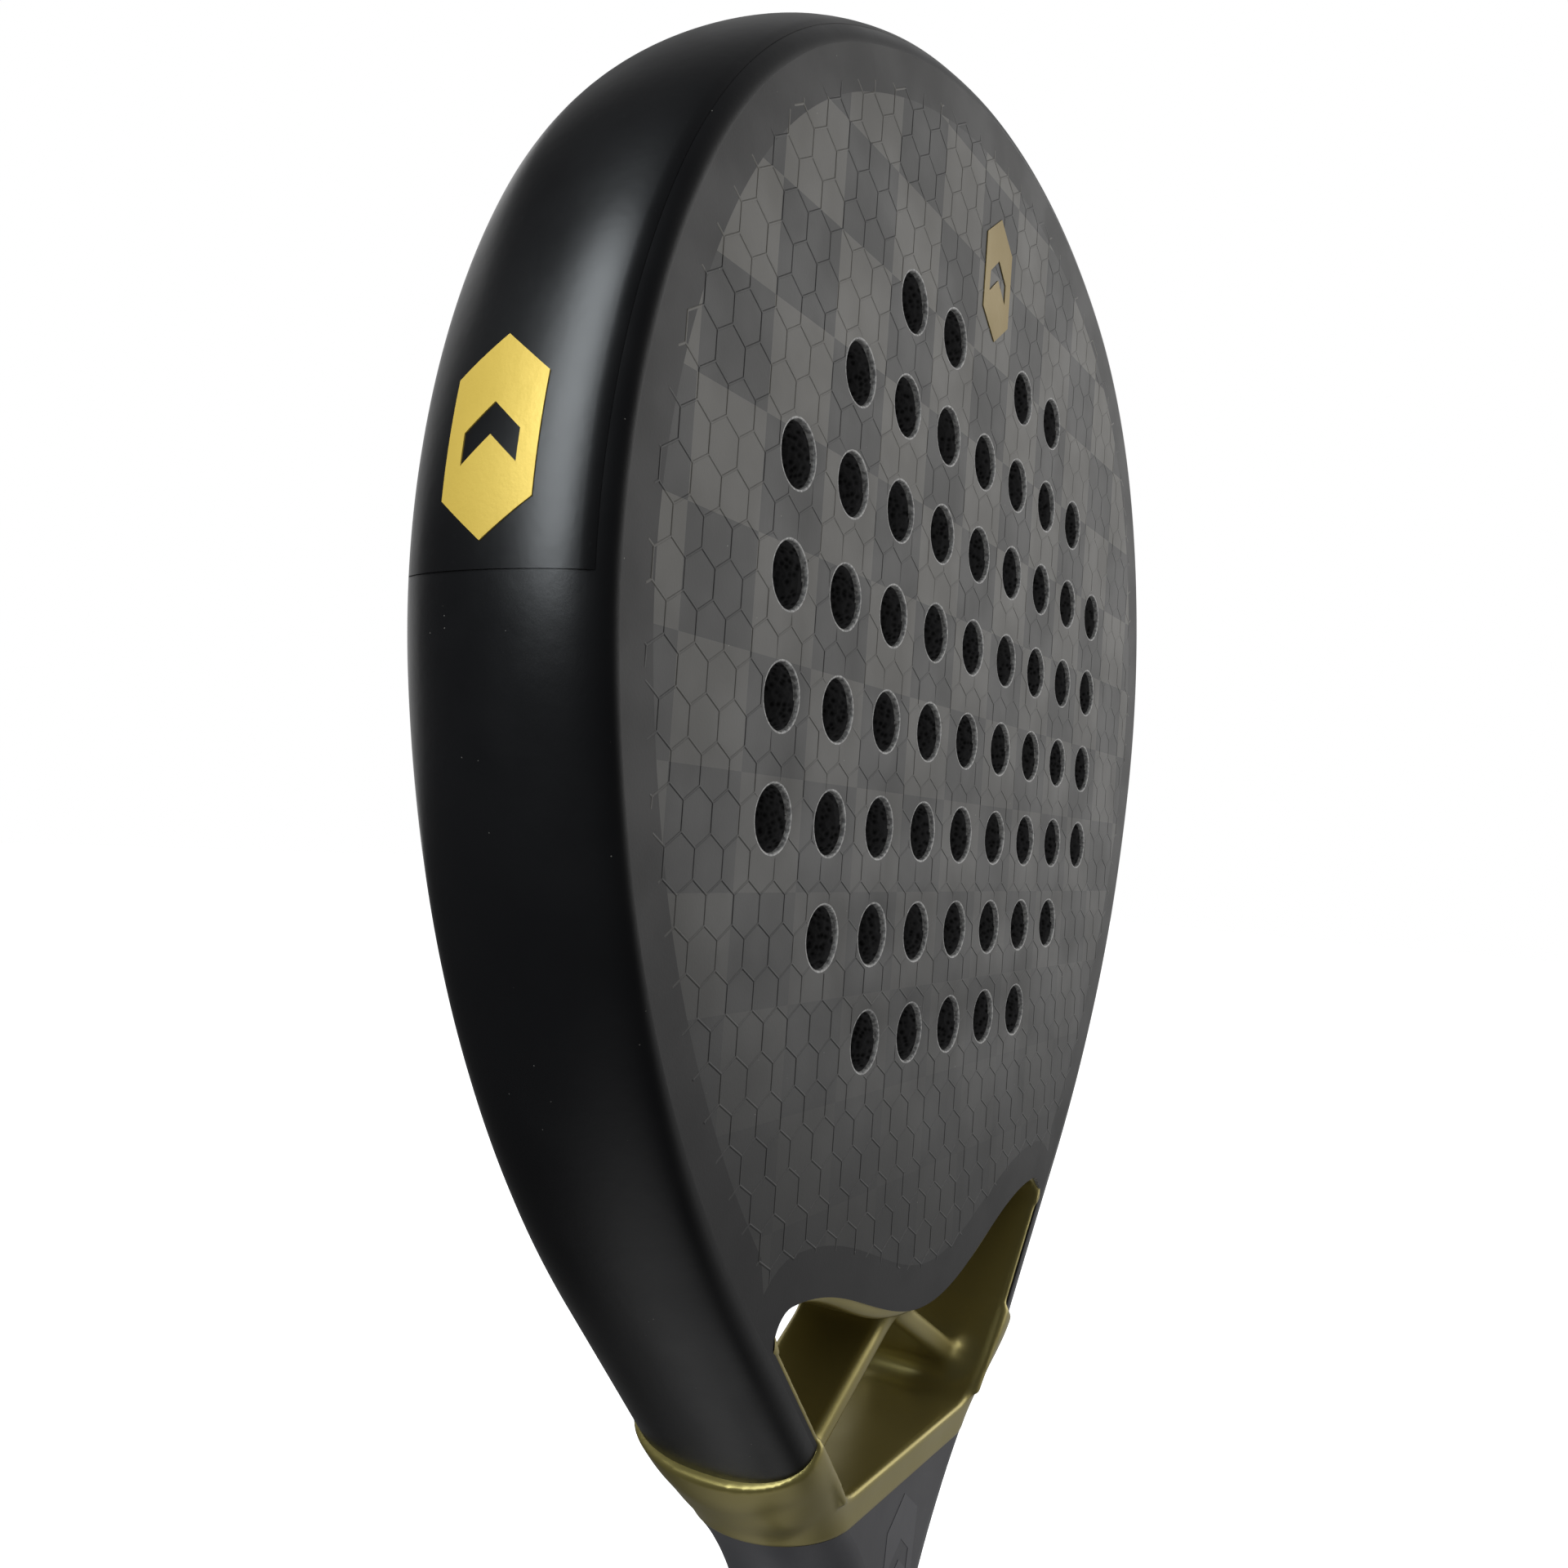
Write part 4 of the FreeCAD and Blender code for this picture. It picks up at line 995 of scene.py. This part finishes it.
def decal(name, node, material, length, corner_steps, grid, thickness, place):
    """A thin mark; place(across, up, lift) puts a point of the flat mark on its surface."""
    plate, window = mark_outline(length)
    points, edges = [], []
    for loop in (plate, window):
        sides = zip(loop, np.roll(loop, -1, axis=0))
        add_loop(points, edges, np.vstack([np.linspace(a, b, corner_steps, endpoint=False)
                                           for a, b in sides]))
    rim = len(points)
    # inner points, a little off the mark's own lines, let it bend with the surface
    points += [Vector((a + 0.05, b + 0.03)) for a in grid[0] for b in grid[1]]
    flat, triangles, middle = triangulate(points, edges, 1e-6)
    keep = inside(middle, plate) & ~inside(middle, window)
    faces = [tuple(t) for t, use in zip(triangles, keep) if use]
    verts = [place(a, b, thickness) for a, b in flat]
    base = len(verts)
    for a, b in points[:rim]:
        verts += [place(a, b, lift) for lift in (thickness, DECAL_SUNK)]
    faces += [(base + 2 * a, base + 2 * b, base + 2 * b + 1, base + 2 * a + 1) for a, b in edges]
    return add_object(name, verts, faces, [material], [node])


def rim_decal(name, node, side):
    """Gold foil mark on the side of the rim."""
    def place(across, up, lift):
        return rim_point(side, across, DECAL_Z + up, FILM + lift)

    grid = (np.arange(-7.5, 7.6, 1.0), np.arange(-14.5, 14.6, 1.0))
    obj = decal(name, node, bright_gold, DECAL_LENGTH, 12, grid, DECAL, place)
    clean_decal(obj, (side, 0, 0))


def neck_decal(name, node, side):
    """Flat print that follows the neck's own surface."""
    low, high = node_box(node)
    middle_z = (low[2] + high[2]) / 2
    shell = nodes["handle_shell"]
    to_local = shell.matrix_world.inverted()
    push = (to_local.to_3x3() @ Vector((0, -side, 0))).normalized()

    def place(x, up, lift):
        z = middle_z + up
        start = to_local @ (Vector((x, side * 60.0, z)) * MM)
        hit, found, _, _ = shell.ray_cast(start, push)
        y = (shell.matrix_world @ found).y / MM if hit else side * NECK_HALF_DEPTH
        return (x, y + side * lift, z)

    grid = (np.arange(-7, 7.1, 1.4), np.arange(-13, 13.1, 1.4))
    obj = decal(name, node, grey_print, NECK_MARK_LENGTH, 10, grid, NECK_PRINT, place)
    clean_decal(obj, (0, side, 0))


edge_film()
neck_decal("neck_mark_front", "neck_emblem_front", -1)
neck_decal("neck_mark_back", "neck_emblem_back", 1)
rim_decal("rim_mark_left", "side_emblem_left", -1)
rim_decal("rim_mark_right", "side_emblem_right", 1)

# ---------------------------------------------------------------- grip

GRIP_LOW, GRIP_HIGH = node_box("grip_base_wrap")
TAPE_LOW = node_box("grip_finish_tape")[0][2]
WRAP = 1.8
WRAP_PITCH = 21.0
WRAP_STEP = 0.95
# shares of a turn: where its edge has risen, and where it has thinned to its lasting thickness,
# and the share that it thins by
LAP_RISE = 0.06
LAP_END = 0.2
LAP_THIN = 0.35
LAP_FADE = 2.0  # the laps end this far below the finishing tape
GRIP_SIDES = 120
GRIP_ROW = 0.45


def stadium_points(half_width, half_depth, count):
    """Even points round a flat-sided oval, with their outward directions."""
    straight = half_width - half_depth
    flat, bend = 2 * straight, math.pi * half_depth

    def bend_point(side, angle):
        c, s = math.cos(angle), math.sin(angle)
        return (side * straight + half_depth * c, half_depth * s, c, s)

    result = []
    for s in np.arange(count) / count * (2 * flat + 2 * bend):
        if s < flat:
            result.append((s - straight, -half_depth, 0, -1))
        elif s - flat < bend:
            result.append(bend_point(1, (s - flat) / half_depth - math.pi / 2))
        elif s - flat - bend < flat:
            result.append((straight - (s - flat - bend), half_depth, 0, 1))
        else:
            result.append(bend_point(-1, (s - flat - bend - flat) / half_depth + math.pi / 2))
    return np.array(result)


def wound_grip():
    """Cushioned tape wound up the handle, each turn lapping over the one below."""
    core = stadium_points(GRIP_HIGH[0] - WRAP, GRIP_HIGH[1] - WRAP, GRIP_SIDES)
    heights = np.arange(GRIP_LOW[2], GRIP_HIGH[2], GRIP_ROW)
    heights = np.append(heights, GRIP_HIGH[2])
    share = np.arange(GRIP_SIDES) / GRIP_SIDES
    rows = [np.column_stack([core[:, :2], np.full(GRIP_SIDES, heights[0])])]
    for z in heights:
        phase = (z / WRAP_PITCH - share) % 1.0
        # a turn is full at its lower edge's roll, thins upwards, and tucks under the next
        thin = 1 - LAP_THIN * smoothstep(LAP_RISE, LAP_END, phase)
        swell = smoothstep(0.0, LAP_RISE, phase) * thin
        lift = WRAP - WRAP_STEP + WRAP_STEP * swell
        even = smoothstep(TAPE_LOW - LAP_FADE, TAPE_LOW, z)
        lift = lift * (1 - even) + (WRAP - 0.02) * even
        points = core[:, :2] + core[:, 2:] * lift[:, None]
        rows.append(np.column_stack([points, np.full(GRIP_SIDES, z)]))
    rows.append(np.column_stack([core[:, :2], np.full(GRIP_SIDES, heights[-1])]))
    faces = grid_faces(len(rows), GRIP_SIDES, closed=True)
    obj = add_object("wound_grip", np.vstack(rows), faces, [grip_skin], ["grip_base_wrap"])
    fix_normals(obj)
    sharpen(obj, 50)


wound_grip()

# ---------------------------------------------------------------- CAD nodes kept

KEPT = {
    "head_core": foam, "head_frame_foam": filler, "throat_arm_foam_left": filler,
    "throat_arm_foam_right": filler, "handle_core": filler, "handle_shell": neck_grey,
    "grip_finish_tape": tape_black, "grip_ring": rubber, "butt_cap": moulded,
    "face_emblem_front": dim_gold, "face_emblem_back": dim_gold,
}
for name, material in KEPT.items():
    data = nodes[name].data
    data.materials.clear()
    data.materials.append(material)

ring_edge = nodes["grip_ring"].modifiers.new("rounded_edges", "BEVEL")
ring_edge.width = 0.7 * MM
ring_edge.segments = 3
ring_edge.limit_method = "ANGLE"
ring_edge.angle_limit = math.radians(50)

# ---------------------------------------------------------------- stage

# the camera as solved from the photo: its place, and its right, up and backward directions
EYE = Vector((-0.2703, -0.1293, 0.2987))
VIEW_RIGHT = Vector((0.49086, -0.86840, 0.07029))
VIEW_UP = Vector((-0.06444, 0.04427, 0.99694))
VIEW_BACK = Vector((-0.86885, -0.49389, -0.03423))

camera_data = bpy.data.cameras.new("camera")
camera_data.lens = 32.108
camera_data.sensor_width = 36
camera_data.clip_start = 0.01
camera = bpy.data.objects.new("camera", camera_data)
bpy.context.collection.objects.link(camera)
turn = Matrix((VIEW_RIGHT, VIEW_UP, VIEW_BACK)).transposed()
camera.matrix_world = Matrix.Translation(EYE) @ turn.to_4x4()
scene = bpy.context.scene
scene.camera = camera
scene.view_settings.view_transform = "Standard"


def area_light(name, position, target, size, power, color=(1, 1, 1)):
    """A rectangular light that faces its target; power in watts."""
    data = bpy.data.lights.new(name, "AREA")
    data.shape = "RECTANGLE"
    data.size, data.size_y = size
    data.energy = power
    data.color = color
    light = bpy.data.objects.new(name, data)
    bpy.context.collection.objects.link(light)
    light.location = position
    light.rotation_euler = (Vector(target) - Vector(position)).to_track_quat("-Z", "Y").to_euler()


area_light("strip_left", (-0.85, 0.10, 0.80), (0, 0, 0.36), (0.36, 0.85),
           power=7.6, color=(0.90, 0.96, 1.0))
area_light("softbox_right", (1.3, -1.0, 0.7), (0.05, 0, 0.3), (1.2, 1.4),
           power=8.0, color=(1.0, 0.99, 0.97))
area_light("softbox_back", (0.3, 1.3, 0.7), (0, 0, 0.3), (1.2, 1.2), power=3.0)


FLOOR_REACH = 6.0
FLOOR_Z_METRES = -0.0002
FLOOR_STEPS = 12
FLOOR_GLOW = 0.92
BRIGHT_SIDE = Vector((0.97, -0.10, 0.20)).normalized()
AMBIENT = 0.42


def floor():
    """Pale ground that lights nothing and that nothing reflects."""
    n = Nodes("pale_floor")
    color = n.mix(n.noise(6, 3), (0.80, 0.80, 0.80), (0.84, 0.84, 0.84))
    n.put(n.shader.inputs["Emission Color"], (1, 1, 1, 1))
    n.shader.inputs["Emission Strength"].default_value = FLOOR_GLOW
    mesh = bpy.data.meshes.new("floor")
    grid = np.linspace(-FLOOR_REACH, FLOOR_REACH, FLOOR_STEPS + 1)
    verts = [(x, y, FLOOR_Z_METRES) for x in grid for y in grid]
    mesh.from_pydata(verts, [], grid_faces(len(grid), len(grid)))
    mesh.materials.append(n.finish(color, 0.6, n.bump(n.noise(300, 3), 0.0001)))
    obj = bpy.data.objects.new("floor", mesh)
    bpy.context.collection.objects.link(obj)
    obj.visible_diffuse = False
    obj.visible_glossy = False


def studio_world():
    """White to the camera and an even fill for diffuse light. Reflections see a gradient, bright
    to the right and dark to the left, and a glow from straight below like a pale table's."""
    world = bpy.data.worlds.new("studio")
    scene.world = world
    world.use_nodes = True
    n = Tree(world.node_tree)
    n.tree.nodes.clear()
    direction = n.add("ShaderNodeTexCoord").outputs["Generated"]
    bright = n.add("ShaderNodeVectorMath", {0: direction, 1: BRIGHT_SIDE}, operation="DOT_PRODUCT")
    gradient = n.ramp(bright.outputs["Value"], 0.05, 1.0, 0.03, 0.55)
    split = n.add("ShaderNodeSeparateXYZ", {0: direction})
    table = n.ramp(split.outputs["Z"], -0.78, -1.0, 0.0, 0.50)
    soft = n.add("ShaderNodeBackground", {"Strength": n.math("ADD", gradient, table)})
    ambient = n.add("ShaderNodeBackground", {"Strength": AMBIENT})
    white = n.add("ShaderNodeBackground", {"Strength": 1.0, "Color": (1, 1, 1, 1)})
    path = n.add("ShaderNodeLightPath")
    fill = n.add("ShaderNodeMixShader", {0: path.outputs["Is Diffuse Ray"],
                                         1: soft.outputs[0], 2: ambient.outputs[0]})
    seen = n.add("ShaderNodeMixShader", {0: path.outputs["Is Camera Ray"],
                                         1: fill.outputs[0], 2: white.outputs[0]})
    n.add("ShaderNodeOutputWorld", {"Surface": seen.outputs[0]})


floor()
studio_world()
